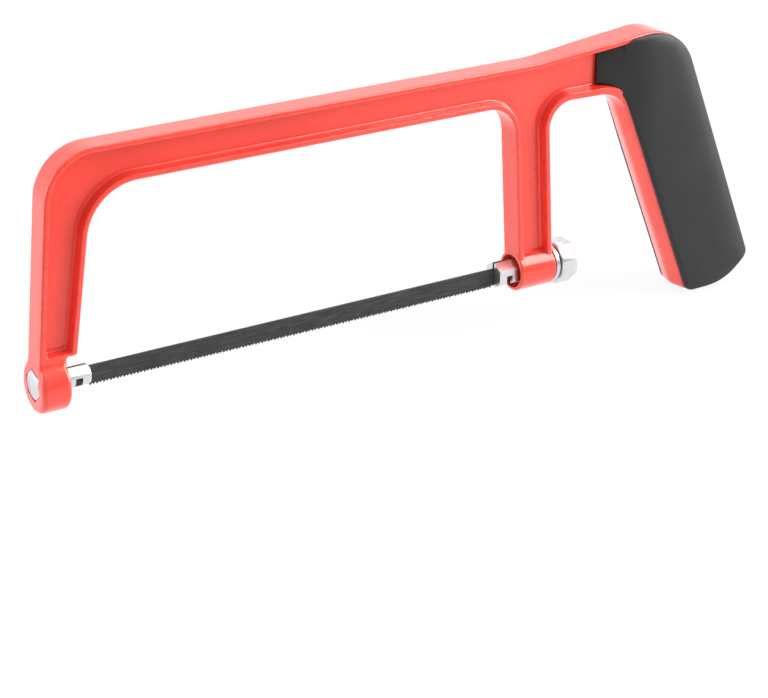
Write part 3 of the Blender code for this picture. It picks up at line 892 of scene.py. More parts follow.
@dataclass
class Casting:
    """Red die-cast frame: an I-section bow with a nose barrel, a rear boss and a handle spine."""

    SNUG: ClassVar[float] = 0.99
    ARM_END: ClassVar[int] = 0
    GAP_TOP: ClassVar[int] = 6
    RIM_STEPS: ClassVar[int] = 4
    LIP_STEPS: ClassVar[int] = 3
    NOSE_STEPS: ClassVar[int] = 6

    pin_spacing: float
    back_top: float = 67.3 * MM
    back_height: float = 11.7 * MM
    arm_reach: float = 12.7 * MM
    arm_width: float = 10.8 * MM
    arm_end: float = 8.1 * MM
    arm_end_flange: float = 1.0 * MM
    arm_end_fillet: float = 1.6 * MM
    arm_end_setback: float = 0.9 * MM
    arm_outer_lean: float = math.radians(5.65)
    arm_inner_lean: float = math.radians(8.65)
    post_setback: float = 3.4 * MM
    post_width: float = 12.4 * MM
    post_end: float = 2.0 * MM
    post_lean: float = math.radians(-3.25)
    hand_gap: float = 45.4 * MM
    hand_gap_top: float = 53.9 * MM
    handle_lean: float = math.radians(-22.0)
    handle_width: float = 26.9 * MM
    handle_foot: float = 19.2 * MM
    handle_foot_angle: float = math.radians(18.1)
    handle_belly: float = 0.15
    handle_crown: float = 1.2 * MM
    crown_power: float = 1.25
    crown_rings: int = 4
    hump_setback: float = 9.0 * MM
    hump_slope: float = math.radians(5.65)
    outer_corner: float = 15.5 * MM
    inner_corner: float = 16.0 * MM
    throat_corner: float = 10.0 * MM
    gap_front_corner: float = 8.0 * MM
    gap_rear_corner: float = 12.0 * MM
    pocket_rear_corner: float = 8.2 * MM
    foot_corner: float = 3.8 * MM
    foot_curve: float = 20.0 * MM
    heel_corner: float = 2.8 * MM
    hump_corner: float = 17.5 * MM
    hump_bend: float = 60.0 * MM
    end_corner: float = 1.0 * MM
    thickness: float = 8.75 * MM
    handle_thickness: float = 11.1 * MM
    flare_length: float = 31.0 * MM
    flare_cuts: int = 14
    flange: float = 1.7 * MM
    gap_flange: float = 2.2 * MM
    web: float = 2.6 * MM
    draft: float = math.radians(8.0)
    fillet: float = 0.7 * MM
    rim: float = 0.6 * MM
    lip: float = 0.35 * MM
    nose_radius: float = 7.7 * MM
    nose_forward: float = 0.2 * MM
    nose_drop: float = 0.3 * MM
    nose_length: float = 9.0 * MM
    nose_neck: float = 8.6 * MM
    nose_fillet: float = 2.6 * MM
    nose_blend: float = 3.0 * MM
    nose_rim: float = 1.5 * MM
    nose_tall: float = 1.05
    nose_low_cut: float = -4.5 * MM
    nose_cut_step: float = 1.0 * MM
    nose_cuts: int = 13
    neck_corner: float = 0.3 * MM
    tuck: float = 0.02 * MM
    anchor_pocket: float = 4.92 * MM
    anchor_pocket_depth: float = 3.9 * MM
    anchor_turn: float = math.radians(-11.0)
    anchor_hole: float = 3.3 * MM
    boss_radius: float = 6.4 * MM
    boss_overhang: float = 0.4 * MM
    boss_length: float = 13.1 * MM
    boss_rim: float = 0.7 * MM
    bore_radius: float = 5.3 * MM
    bore_depth: float = 3.6 * MM
    stud_guide: float = 4.69 * MM

    @property
    def post_foot(self) -> float:
        """X of the rear post's front face on the studs' axis."""
        return self.pin_spacing + self.post_setback

    @property
    def hump_start(self) -> float:
        """X where the back starts to rise towards the handle."""
        return self.pin_spacing + self.hump_setback

    @property
    def nose_front(self) -> float:
        """X of the nose's front face."""
        return -self.arm_reach - self.nose_forward

    @property
    def boss_front(self) -> float:
        """X of the rear boss's front face."""
        return self.post_foot - self.boss_overhang

    @property
    def boss_rear(self) -> float:
        """X of the rear boss's rear face."""
        return self.boss_front + self.boss_length

    @property
    def flare_ratio(self) -> float:
        """How much thicker the handle is than the bow."""
        return self.handle_thickness / self.thickness

    def flare_at(self, x: float) -> float:
        """Widening of the casting at an X."""
        return 1.0 + (self.flare_ratio - 1.0) * ease((x - self.hump_start) / self.flare_length)

    def handle_corners(self, front_inset: float, gap_corner: float) -> list[Corner]:
        """Corners of the handle from the hand gap round its foot to the hump.

        Args:
            front_inset: How far the finger side is set back from the crown's ridge.
            gap_corner: Radius at the top of the hand gap.

        Returns:
            Five corners: gap, toe, belly, heel and hump.
        """
        front = self.post_foot + self.post_width + self.hand_gap
        rear = front + self.handle_width / math.cos(self.handle_lean)
        upright = math.pi / 2.0 - self.handle_lean
        front += (front_inset - self.handle_crown) / math.cos(self.handle_lean)
        toe = (lean(front, self.handle_lean, -self.handle_foot), -self.handle_foot)
        heel = meet((*toe, self.handle_foot_angle), (rear, 0.0, upright))
        belly_u = 0.5 * (toe[0] + heel[0]) + self.handle_belly * (heel[1] - toe[1])
        belly_v = 0.5 * (toe[1] + heel[1]) - self.handle_belly * (heel[0] - toe[0])
        hump = meet((self.hump_start, self.back_top, self.hump_slope), (rear, 0.0, upright))
        return [
            Corner(lean(front, self.handle_lean, self.hand_gap_top), self.hand_gap_top, gap_corner),
            Corner(*toe, self.foot_corner),
            Corner(belly_u, belly_v, self.foot_curve),
            Corner(*heel, self.heel_corner),
            Corner(*hump, self.hump_corner),
        ]

    def bow(self, front_inset: float, in_pocket: bool) -> Outline:
        """Outline of the whole bow from the side.

        Args:
            front_inset: How far the finger side is set back from the crown's ridge.
            in_pocket: Whether the outline bounds the pocket and not the rim.

        Returns:
            The outline, from the front of the arm's lower end.
        """
        toe_corner = self.end_corner if in_pocket else self.neck_corner
        gap_corner = self.pocket_rear_corner if in_pocket else self.gap_rear_corner
        underside = self.back_top - self.back_height
        arm_outer = -self.arm_reach
        arm_inner = self.arm_width - self.arm_reach
        post_rear = self.post_foot + self.post_width
        outer, inner, post = self.arm_outer_lean, self.arm_inner_lean, self.post_lean
        return Outline((
            Corner(lean(arm_outer, outer, self.arm_end), self.arm_end, toe_corner),
            Corner(lean(arm_inner, inner, self.arm_end), self.arm_end, self.end_corner),
            Corner(lean(arm_inner, inner, underside), underside, self.inner_corner),
            Corner(lean(self.post_foot, post, underside), underside, self.throat_corner),
            Corner(lean(self.post_foot, post, self.post_end), self.post_end, self.end_corner),
            Corner(lean(post_rear, post, self.post_end), self.post_end, self.end_corner),
            Corner(lean(post_rear, post, self.hand_gap_top), self.hand_gap_top, self.gap_front_corner),
            *self.handle_corners(front_inset, gap_corner),
            Corner(self.hump_start, self.back_top, self.hump_bend),
            Corner(lean(arm_outer, outer, self.back_top), self.back_top, self.outer_corner),
        ))

    def wall_foot(self) -> float:
        """Inset of the drafted pocket wall where its fillet starts."""
        depth = self.thickness / 2.0 - self.web / 2.0 - self.fillet
        return self.flange + depth * math.tan(self.draft)

    def levels(self) -> list[Level]:
        """List the rings of one side of the section.

        Returns:
            The rings from the web up the pocket wall, over the flange and round the rim.
        """
        half = self.thickness / 2.0
        foot = self.wall_foot()
        rings = []
        for sine, cosine in quarter(self.RIM_STEPS):
            height = self.web / 2.0 + self.fillet * (1.0 - cosine)
            rings.append(Level(foot + self.fillet * (1.0 - sine), height, True))
        for sine, cosine in quarter(self.LIP_STEPS):
            inset = self.flange - self.lip * (1.0 - cosine)
            rings.append(Level(inset, half - self.lip * (1.0 - sine), True))
        for sine, cosine in quarter(self.RIM_STEPS):
            rings.append(Level(self.rim * (1.0 - sine), half - self.rim * (1.0 - cosine), False))
        return rings

    def ring(self, level: Level, side: float) -> tuple[Outline, float]:
        """Outline of the bow at one level of its section.

        Args:
            level: The level.
            side: -1 or 1 for the two sides of the mid-plane.

        Returns:
            The outline and its Y.
        """
        crown = self.handle_crown * (level.height / (self.thickness / 2.0)) ** self.crown_power
        outline = self.bow(crown, level.in_pocket)
        insets = [level.inset] * len(outline.corners)
        if level.in_pocket:
            insets[self.ARM_END] += self.arm_end_flange - self.flange
            insets[self.GAP_TOP] += self.gap_flange - self.flange
        return outline.inset(insets), side * level.height

    def bow_solid(self) -> BMesh:
        """Loft the I-section bow and widen it towards the handle.

        Returns:
            The solid.
        """
        levels = self.levels()
        rings = [self.ring(level, -1.0) for level in levels]
        reach = self.thickness / 2.0 - self.rim
        for step in range(-self.crown_rings, self.crown_rings + 1):
            height = reach * step / (self.crown_rings + 1)
            rings.append(self.ring(Level(0.0, abs(height), False), math.copysign(1.0, height)))
        rings.extend(self.ring(level, 1.0) for level in reversed(levels))
        bm = loft(rings)
        for step in range(self.flare_cuts + 1):
            x = self.hump_start + self.flare_length * step / self.flare_cuts
            cut_at(bm, (x, 0.0, 0.0), (1.0, 0.0, 0.0))
        for vert in bm.verts:
            vert.co.y *= self.flare_at(vert.co.x)
        return bm

    def flared_barrel(self, neck: float, radius: float, fillet: float, top: float) -> Outline:
        """Section of a barrel with a neck that rises from it between two hollow fillets.

        Args:
            neck: Half width of the neck.
            radius: Radius of the barrel.
            fillet: Radius of the fillets.
            top: Height of the neck's top over the barrel's axis.

        Returns:
            The outline round the barrel's axis, from the neck's top left corner.
        """
        swing = math.asin((neck + fillet) / (radius + fillet))
        crease = (radius - neck * math.sin(swing)) / math.cos(swing)
        shoulder = radius * math.tan((math.pi / 2.0 - swing) / 2.0)
        left = [
            Corner(-neck, top, self.neck_corner),
            Corner(-neck, crease, fillet),
            Corner(-radius, shoulder, self.SNUG * radius),
            Corner(-radius, -radius, self.SNUG * radius),
        ]
        right = [replace(corner, u=-corner.u) for corner in reversed(left)]
        return Outline(tuple(left + right))

    def nose_lean(self, height: float) -> float:
        """Find the height that counts for the lean of the nose's front face.

        Args:
            height: Height over the studs' axis.

        Returns:
            Nothing well below the axis, all of the height above it, and a smooth change between.
        """
        blend = self.nose_blend
        if height > blend:
            return height
        return max(height + blend, 0.0) ** 2 / (4.0 * blend)

    def nose_section(self, rounding: float) -> Outline:
        """Draw the nose's section within its rounded edge.

        Args:
            rounding: How far in, as a share of the edge: 0 at the side and 1 at the end face.

        Returns:
            The outline.
        """
        drawn_in = rounding * self.rim
        neck = self.thickness / 2.0 - self.tuck - drawn_in
        radius = self.nose_radius - rounding * self.nose_rim
        return self.flared_barrel(neck, radius, self.nose_fillet + drawn_in, self.nose_neck - drawn_in)

    def nose_solid(self) -> BMesh:
        """Make the front barrel with a neck up into the arm, its front face leaning with the arm.

        Returns:
            The solid.
        """
        rings = []
        for sine, cosine in quarter(self.NOSE_STEPS):
            rings.append((self.nose_section(1.0 - sine), self.nose_rim * (1.0 - cosine)))
        for sine, cosine in reversed(quarter(self.NOSE_STEPS)):
            rings.append((self.nose_section(1.0 - sine), self.nose_length - self.nose_rim * (1.0 - cosine)))
        bm = loft(rings)
        for number in range(self.nose_cuts):
            cut_at(bm, (0.0, 0.0, self.nose_low_cut + number * self.nose_cut_step), (0.0, 0.0, 1.0))
        crosswise = Matrix.Rotation(-math.pi / 2.0, 3, "Z")
        bmesh.ops.rotate(bm, verts=bm.verts, cent=(0.0, 0.0, 0.0), matrix=crosswise)
        narrow = 1.0 - self.rim / self.nose_rim
        for vert in bm.verts:
            vert.co.z = self.nose_tall * vert.co.z - self.nose_drop
            share = 1.0 - vert.co.x / self.nose_length
            merge = ease(vert.co.z / self.nose_neck)
            if vert.co.x < self.nose_rim:
                vert.co.x *= 1.0 - narrow * merge
            back = (self.nose_forward + self.tuck) * merge
            back += math.tan(self.arm_outer_lean) * self.nose_lean(vert.co.z)
            vert.co.x += self.nose_front + share * back
        bmesh.ops.recalc_face_normals(bm, faces=bm.faces)
        return bm

    def arm_fillet(self) -> BMesh:
        """Make the hollow fillet between the nose's rear face and the underside of the arm.

        Returns:
            The solid.
        """
        rear = self.nose_front + self.nose_length - self.tuck
        under = self.arm_end + self.tuck
        hollow = self.arm_end_fillet
        sunk = self.neck_corner
        outline = Outline((
            Corner(rear - sunk, under - hollow - sunk, self.tuck),
            Corner(rear, under - hollow - sunk, self.tuck),
            Corner(rear, under, hollow),
            Corner(rear + hollow + sunk, under, self.tuck),
            Corner(rear + hollow + sunk, under + sunk, self.tuck),
            Corner(rear - sunk, under + sunk, self.tuck),
        ))
        half = self.thickness / 2.0 - self.arm_end_setback
        return loft([(outline, -half), (outline, half)])

    def boss_solid(self) -> BMesh:
        """Turn the rear boss: a barrel along the studs' axis.

        Returns:
            The solid.
        """
        front, rear = self.boss_front, self.boss_rear
        return turned([
            (front, 0.0),
            *round_rim(front, self.boss_radius, self.boss_rim, self.RIM_STEPS),
            *reversed(round_rim(rear, self.boss_radius, -self.boss_rim, self.RIM_STEPS)),
            (rear, 0.0),
        ])

    def build(self, shop: Workshop) -> None:
        """Make the casting and bore it for the anchor and the stud.

        Args:
            shop: The workshop that places and dresses pieces.
        """
        casting = shop.solid("cast_frame", self.bow_solid())
        for solid in (self.nose_solid(), self.arm_fillet(), self.boss_solid()):
            shop.combine(casting, solid, Merge.JOIN)
        nose, boss = self.nose_front, self.boss_front
        for bore in (
            rod(self.anchor_pocket, nose - self.nose_length, nose + self.anchor_pocket_depth, HEX_SIDES,
                HEX_UPRIGHT + self.anchor_turn),
            rod(self.anchor_hole, nose, nose + 2.0 * self.nose_length),
            rod(self.bore_radius, boss - self.bore_depth, boss + self.bore_depth),
            rod(self.stud_guide, boss, self.boss_rear + self.bore_depth, HEX_SIDES),
        ):
            shop.combine(casting, bore, Merge.CUT)
        shop.mark_edges(casting)
        shop.flatten_shading(casting)
        shop.finish(casting, Slot.RED_PAINT, Body.SAW_FRAME, "frame")


@dataclass
class GripPanels:
    """Two soft panels that fill the handle's pockets and cover its flanges.

    SHOULDER holds points of the edge round a panel's face: shares of the edge's width, and of its height.
    """

    SHOULDER: ClassVar[tuple[Point, ...]] = (
        (0.0, 0.0), (0.03, 0.18), (0.10, 0.34), (0.22, 0.46), (0.51, 0.68), (0.80, 0.90), (0.91, 0.97),
        (0.96, 0.99), (1.0, 1.0))
    MERGE_DISTANCE: ClassVar[float] = 0.004 * MM

    casting: Casting
    setback: float = 31.2 * MM
    thickness: float = 15.4 * MM
    seat_gap: float = 0.12 * MM
    wall_gap: float = 0.35 * MM
    tuck: float = 0.1 * MM
    gap_clear: float = 0.4 * MM
    gap_sag: float = 1.2 * MM
    gap_corner: float = 12.0 * MM
    finger_inset: float = 0.2 * MM
    front_edge: float = 1.0 * MM
    front_corner: float = 0.4 * MM
    ramp: float = 19.8 * MM
    ramp_cuts: int = 26
    step: float = 7.3 * MM
    step_run: float = 4.6 * MM
    step_curve: float = 5.0 * MM
    edge_depth: float = 1.5 * MM
    finger_edge: float = 0.7 * MM
    palm_edge: float = 6.0 * MM
    top_edge: float = 6.0 * MM
    softness: float = 2.2
    top_inset: float = 0.5 * MM
    crown: float = 0.4 * MM
    palm_crown: float = 1.3 * MM
    crown_cuts: int = 14
    length_cuts: int = 14
    length_step: float = 6.0 * MM

    @property
    def front(self) -> float:
        """X of the panels' front end."""
        return self.casting.pin_spacing + self.setback

    @property
    def base(self) -> float:
        """Height of a panel's back over the mid-plane."""
        return self.casting.web / 2.0 * self.casting.flare_ratio + self.seat_gap

    @property
    def seat(self) -> float:
        """Height of a panel's underside over the flange."""
        return self.casting.handle_thickness / 2.0 + self.seat_gap

    def face_at(self, x: float) -> float:
        """Find how high a panel's face stands: it dives into the pocket towards its front end.

        Args:
            x: X along the saw.

        Returns:
            The height over the mid-plane.
        """
        low = self.base + self.front_edge
        share = min(max((x - self.front) / self.ramp, 0.0), 1.0)
        return low + (self.thickness / 2.0 - low) * math.sin(share * math.pi / 2.0)

    def outline(self, gap: float, finger: float, foot: float, palm: float, back: float, fore: float,
                sag: float) -> Outline:
        """Outline of a panel with its own inset along each side.

        Args:
            gap: Inset along the top of the hand gap.
            finger: Inset along the finger side.
            foot: Inset along the foot.
            palm: Inset along the palm side.
            back: Inset along the top behind the step.
            fore: Inset along the top ahead of the step.
            sag: How far the edge over the hand gap falls towards the finger side.

        Returns:
            The outline.
        """
        casting = self.casting
        slope = casting.hump_slope
        handle = casting.handle_corners(casting.handle_crown, casting.pocket_rear_corner)
        hump = handle[-1]
        top_v = hump.v + math.tan(slope) * (self.front - hump.u)
        plain = Outline((
            Corner(self.front, casting.hand_gap_top, self.front_corner),
            *handle,
            Corner(self.front, top_v, self.front_corner),
        ))
        moved = list(plain.inset([gap, finger, foot, foot, palm, back, 0.0]).corners)
        if sag > 0.0:
            bend = moved[1]
            moved[1] = Corner(lean(bend.u, casting.handle_lean, -sag), bend.v - sag, self.gap_corner)
        edge = moved.pop()
        across = math.cos(slope)
        fore_v = edge.v - (fore - back) / across
        out_u = self.front + self.step + self.step_run
        in_u = self.front + self.step
        out_v = edge.v + math.tan(slope) * (out_u - edge.u)
        in_v = fore_v + math.tan(slope) * (in_u - edge.u)
        moved.append(Corner(out_u, out_v, self.step_curve))
        moved.append(Corner(in_u, in_v, self.step_curve))
        moved.append(Corner(edge.u, fore_v, edge.radius))
        return Outline(tuple(moved))

    def rings(self) -> list[tuple[Outline, float]]:
        """List the rings of a panel.

        Returns:
            Each outline and its height, from the panel's back in the pocket up to its face.
        """
        casting = self.casting
        half = casting.thickness / 2.0
        ratio = casting.flare_ratio
        foot = casting.wall_foot() + self.wall_gap
        lip = casting.flange + self.wall_gap
        wider = casting.gap_flange - casting.flange + self.gap_clear
        sunk = (
            (foot + casting.fillet, self.base),
            (foot, ratio * (casting.web / 2.0 + casting.fillet)),
            (lip, ratio * half),
            (lip, self.seat),
        )
        rings = []
        for inset, height in sunk:
            outline = self.outline(inset + wider, inset, inset, inset, inset, inset + self.tuck, 0.0)
            rings.append((outline, height))
        face = self.thickness / 2.0
        seat = self.outline(lip + wider, self.finger_inset, 0.0, 0.0, self.top_inset, lip, self.gap_sag)
        rings.append((seat, self.seat))
        for share, rise in self.SHOULDER:
            finger = share * self.finger_edge
            soft = 1.0 - (1.0 - rise ** self.softness) ** (1.0 / 3.0)
            top = soft * self.top_edge
            palm = soft * self.palm_edge
            outline = self.outline(lip + wider + finger, self.finger_inset + finger, finger, palm,
                                   self.top_inset + top, lip + top, self.gap_sag)
            rings.append((outline, face - self.edge_depth * (1.0 - rise)))
        return rings

    def panel(self, side: Side) -> BMesh:
        """Loft one panel, crown its face and sink its front end into the pocket.

        Args:
            side: The side that it is on.

        Returns:
            The panel.
        """
        casting = self.casting
        bm = loft(self.rings())
        for number in range(self.ramp_cuts + 1):
            cut_at(bm, (self.front + self.ramp * number / self.ramp_cuts, 0.0, 0.0), (1.0, 0.0, 0.0))
        across = Vector((math.cos(casting.handle_lean), 0.0, -math.sin(casting.handle_lean)))
        corners = casting.handle_corners(casting.handle_crown, casting.pocket_rear_corner)
        spine = Vector((corners[0].u, 0.0, corners[0].v)) + across * casting.handle_width / 2.0
        for number in range(1, self.crown_cuts):
            offset = casting.handle_width * (number / self.crown_cuts - 0.5)
            cut_at(bm, spine + across * offset, across)
        along = Vector((math.sin(casting.handle_lean), 0.0, math.cos(casting.handle_lean)))
        for number in range(-self.length_cuts, self.length_cuts):
            cut_at(bm, spine + along * number * self.length_step, along)
        face = self.thickness / 2.0
        for vert in bm.verts:
            top = self.face_at(vert.co.x)
            aside = (vert.co - spine).dot(across) / (casting.handle_width / 2.0)
            aside = min(max(aside, -1.0), 1.0)
            height = vert.co.y
            rise = max(height - self.seat, 0.0) / (face - self.seat)
            crown = self.palm_crown * aside ** 3 if aside > 0.0 else self.crown * aside ** 2
            fall = crown * rise * ease((vert.co.x - self.front) / self.ramp)
            if top < self.seat + self.tuck:
                height = self.base + (height - self.base) * (top - self.base) / (face - self.base)
            elif rise > 0.0:
                height = self.seat + rise * (top - self.seat)
            vert.co.y = side.value * (height - fall)
        bmesh.ops.remove_doubles(bm, verts=bm.verts, dist=self.MERGE_DISTANCE)
        bmesh.ops.recalc_face_normals(bm, faces=bm.faces)
        return bm

    def build(self, shop: Workshop) -> None:
        """Make both panels.

        Args:
            shop: The workshop that places and dresses pieces.
        """
        for side in Side:
            name = side.name.lower()
            panel = shop.solid(f"grip_panel_{name}", self.panel(side))
            shop.mark_edges(panel)
            shop.finish(panel, Slot.BLACK_GRIP, Body.SAW_FRAME, f"grip_{name}")


@dataclass
class Studs:
    """Chrome front anchor, tension stud, thrust washer and fluted knob.

    The shares are of the distance across the head's flats, of a chamfer's width, of the thread's pitch, of
    the knob's radius and of half the way from one flute to the next.
    """

    HEAD_FACE_SHARE: ClassVar[float] = 0.47
    BREAK_SHARE: ClassVar[float] = 0.3
    THREAD_START_SHARE: ClassVar[float] = 0.3
    THREAD_CREST_SHARES: ClassVar[Point] = (0.4, 0.6)
    KNOB_FRONT_SHARE: ClassVar[float] = 0.7
    KNOB_REAR_SHARE: ClassVar[float] = 0.62
    FLUTE_SHARE: ClassVar[float] = 0.9
    FLUTE_STEPS: ClassVar[int] = 24
    EDGE_STEPS: ClassVar[int] = 3
    KNOB_EDGE_STEPS: ClassVar[int] = 6

    casting: Casting
    blades: BladeSet
    edge: float = 0.12 * MM
    seat_gap: float = 0.3 * MM
    slot_gap: float = 0.15 * MM
    anchor_across_flats: float = 8.0 * MM
    anchor_head: float = 3.6 * MM
    head_chamfer: float = math.radians(30.0)
    anchor_radius: float = 3.0 * MM
    anchor_reach: float = 3.8 * MM
    anchor_chamfer: float = 0.35 * MM
    stud_across_flats: float = 7.6 * MM
    stud_reach: float = 3.7 * MM
    stud_length: float = 15.6 * MM
    stud_chamfer: float = 0.45 * MM
    stud_travel: float = 4.0 * MM
    thread_radius: float = 3.0 * MM
    thread_pitch: float = 1.0 * MM
    thread_depth: float = 0.5 * MM
    thread_end_gap: float = 0.6 * MM
    washer_radius: float = 6.1 * MM
    washer_thickness: float = 1.5 * MM
    washer_edge: float = 0.25 * MM
    knob_radius: float = 7.1 * MM
    knob_length: float = 5.9 * MM
    knob_wall: float = 1.0 * MM
    knob_edge: float = 1.2 * MM
    knob_front_edge: float = 0.25 * MM
    flute_count: int = 8
    flute_depth: float = 0.45 * MM

    @property
    def washer_front(self) -> float:
        """X of the washer's front face."""
        return self.casting.boss_rear + self.seat_gap

    @property
    def knob_front(self) -> float:
        """X of the knob's front face."""
        return self.washer_front + self.washer_thickness + self.seat_gap

    @property
    def knob_rear(self) -> float:
        """X of the knob's rear face."""
        return self.knob_front + self.knob_length

    def slot(self, start: float, end: float) -> BMesh:
        """Make the cutter for an upright blade slot.

        Args:
            start: X of its front end.
            end: X of its rear end.

        Returns:
            The cutter.
        """
        half = self.blades.thickness / 2.0 + self.slot_gap
        reach = self.casting.nose_radius
        return block((start, -half, -reach), (end, half, reach))

    def notch(self, x: float, run: float, half_width: float) -> BMesh:
        """Make the cutter for a pin notch that is open at the bottom.

        Args:
            x: X of the pin.
            run: How far the notch runs on along X.
            half_width: Its reach across.

        Returns:
            The cutter.
        """
        clear = self.blades.pin_radius + self.blades.pin_gap
        top = clear - self.blades.drop
        return block((x - clear, -half_width, -self.casting.nose_radius), (x + run + clear, half_width, top))

    def anchor(self, shop: Workshop) -> bpy.types.Object:
        """Make the front anchor: a hexagonal head sunk in the nose and a slotted shank.

        Args:
            shop: The workshop that places and dresses pieces.

        Returns:
            The piece.
        """
        casting = self.casting
        front = casting.nose_front
        radius = self.anchor_across_flats / math.sqrt(3.0)
        head = rod(radius, front, front + self.anchor_head, HEX_SIDES, HEX_UPRIGHT + casting.anchor_turn)
        anchor = shop.solid("anchor_stud", head)
        face = self.HEAD_FACE_SHARE * self.anchor_across_flats
        shop.combine(anchor, turned([
            (front, 0.0),
            (front, face),
            (front + math.tan(self.head_chamfer) * (radius - face), radius),
            (front + 2.0 * self.anchor_head, radius),
            (front + 2.0 * self.anchor_head, 0.0),
        ]), Merge.KEEP)
        end = self.anchor_reach
        broken = self.BREAK_SHARE * self.anchor_chamfer
        shop.combine(anchor, turned([
            (front + 0.5 * self.anchor_head, 0.0),
            (front + 0.5 * self.anchor_head, self.anchor_radius),
            (end - self.anchor_chamfer, self.anchor_radius),
            (end - broken, self.anchor_radius - broken),
            (end, self.anchor_radius - self.anchor_chamfer),
            (end, 0.0),
        ]), Merge.JOIN)
        shop.combine(anchor, self.slot(-self.blades.pin_margin - self.seat_gap, 2.0 * end), Merge.CUT)
        shop.combine(anchor, self.notch(0.0, 0.0, casting.nose_radius), Merge.CUT)
        return anchor

    def stud(self, shop: Workshop) -> bpy.types.Object:
        """Make the tension stud: a slotted hexagonal bar that hooks the rear pin, with a threaded tail.

        Args:
            shop: The workshop that places and dresses pieces.

        Returns:
            The piece.
        """
        pin = self.blades.pin_spacing
        front = pin - self.stud_reach
        end = front + self.stud_length
        radius = self.stud_across_flats / math.sqrt(3.0)
        chamfer = self.stud_chamfer
        stud = shop.solid("hex_stud", rod(radius, front, end, HEX_SIDES))
        shop.combine(stud, turned([
            (front - chamfer, 0.0),
            (front - chamfer, radius - 2.0 * chamfer),
            (front + chamfer, radius),
            (end + chamfer, radius),
            (end + chamfer, 0.0),
        ]), Merge.KEEP)
        tail_end = self.knob_rear - self.knob_wall - self.thread_end_gap
        crest = self.thread_radius
        root = crest - self.thread_depth
        profile = [(end - crest, 0.0), (end - crest, root)]
        x = end + self.THREAD_START_SHARE * self.thread_pitch
        while x + self.thread_pitch < tail_end:
            profile.append((x, root))
            profile.extend((x + share * self.thread_pitch, crest) for share in self.THREAD_CREST_SHARES)
            x += self.thread_pitch
        profile.extend([(tail_end, root), (tail_end, 0.0)])
        shop.combine(stud, turned(profile), Merge.JOIN)
        blade_end = pin + self.blades.pin_margin + self.stud_travel + self.seat_gap
        shop.combine(stud, self.slot(front - self.stud_reach, blade_end), Merge.CUT)
        pocket = self.blades.pin_length / 2.0 + self.blades.pin_gap
        shop.combine(stud, self.notch(pin, self.stud_travel, pocket), Merge.CUT)
        shop.combine(stud, self.notch(pin, 0.0, self.casting.nose_radius), Merge.CUT)
        return stud

    def washer(self) -> BMesh:
        """Turn the thrust washer with eased edges.

        Returns:
            The ring.
        """
        front = self.washer_front
        rear = front + self.washer_thickness
        hole = self.thread_radius + self.seat_gap
        return turned([
            (rear, hole),
            (front, hole),
            *round_rim(front, self.washer_radius, self.washer_edge, self.EDGE_STEPS),
            *reversed(round_rim(rear, self.washer_radius, -self.washer_edge, self.EDGE_STEPS)),
        ], closed=True)

    def knob(self) -> BMesh:
        """Turn the knob, a cap with a blind bore, and flute it round its rim.

        Returns:
            The cap.
        """
        front, rear = self.knob_front, self.knob_rear
        radius = self.knob_radius
        hole = self.thread_radius + self.seat_gap
        floor = rear - self.knob_wall
        inner = self.KNOB_FRONT_SHARE * radius
        bm = turned([
            (floor, 0.0),
            (floor, hole),
            (front, hole),
            (front, inner),
            *round_rim(front, radius, self.knob_front_edge, self.EDGE_STEPS),
            *reversed(round_rim(rear, radius, -self.knob_edge, self.KNOB_EDGE_STEPS)),
            (rear, self.KNOB_REAR_SHARE * radius),
            (rear, 0.0),
        ], steps=self.FLUTE_STEPS * self.flute_count)
        for vert in bm.verts:
            reach = math.hypot(vert.co.y, vert.co.z)
            if reach > inner:
                around = math.atan2(vert.co.z, vert.co.y) * self.flute_count / math.tau
                away = 2.0 * abs(around - round(around)) / self.FLUTE_SHARE
                hollow = self.flute_depth * 0.5 * (1.0 + math.cos(math.pi * min(away, 1.0)))
                pull = 1.0 - hollow * ease((reach - inner) / (radius - inner)) / reach
                vert.co.y *= pull
                vert.co.z *= pull
        return bm

    def build(self, shop: Workshop) -> None:
        """Make the four chrome pieces.

        Args:
            shop: The workshop that places and dresses pieces.
        """
        anchor = self.anchor(shop)
        stud = self.stud(shop)
        washer = shop.solid("chrome_washer", self.washer())
        knob = shop.solid("fluted_knob", self.knob())
        for item in (anchor, stud):
            shop.ease_edges(item, self.edge)
        shop.finish(anchor, Slot.CHROME, Body.SAW_FRAME, "front_anchor")
        shop.finish(stud, Slot.CHROME, Body.STUD, "tension_stud")
        shop.finish(washer, Slot.CHROME, Body.SAW_FRAME, "thrust_washer")
        shop.finish(knob, Slot.CHROME, Body.KNOB, "tension_knob")


@dataclass(frozen=True)
class Softbox:
    """An area light that faces a point."""

    name: str
    place: tuple[float, float, float]
    size: tuple[float, float]
    power: float

    def build(self, target: Vector) -> None:
        """Hang the light in the scene.

        Args:
            target: The point that it faces.
        """
        data = bpy.data.lights.new(self.name, "AREA")
        data.shape = "RECTANGLE"
        data.size, data.size_y = self.size
        data.energy = self.power
        place = Vector(self.place)
        aim(add_object(self.name, data), target + place, -place)


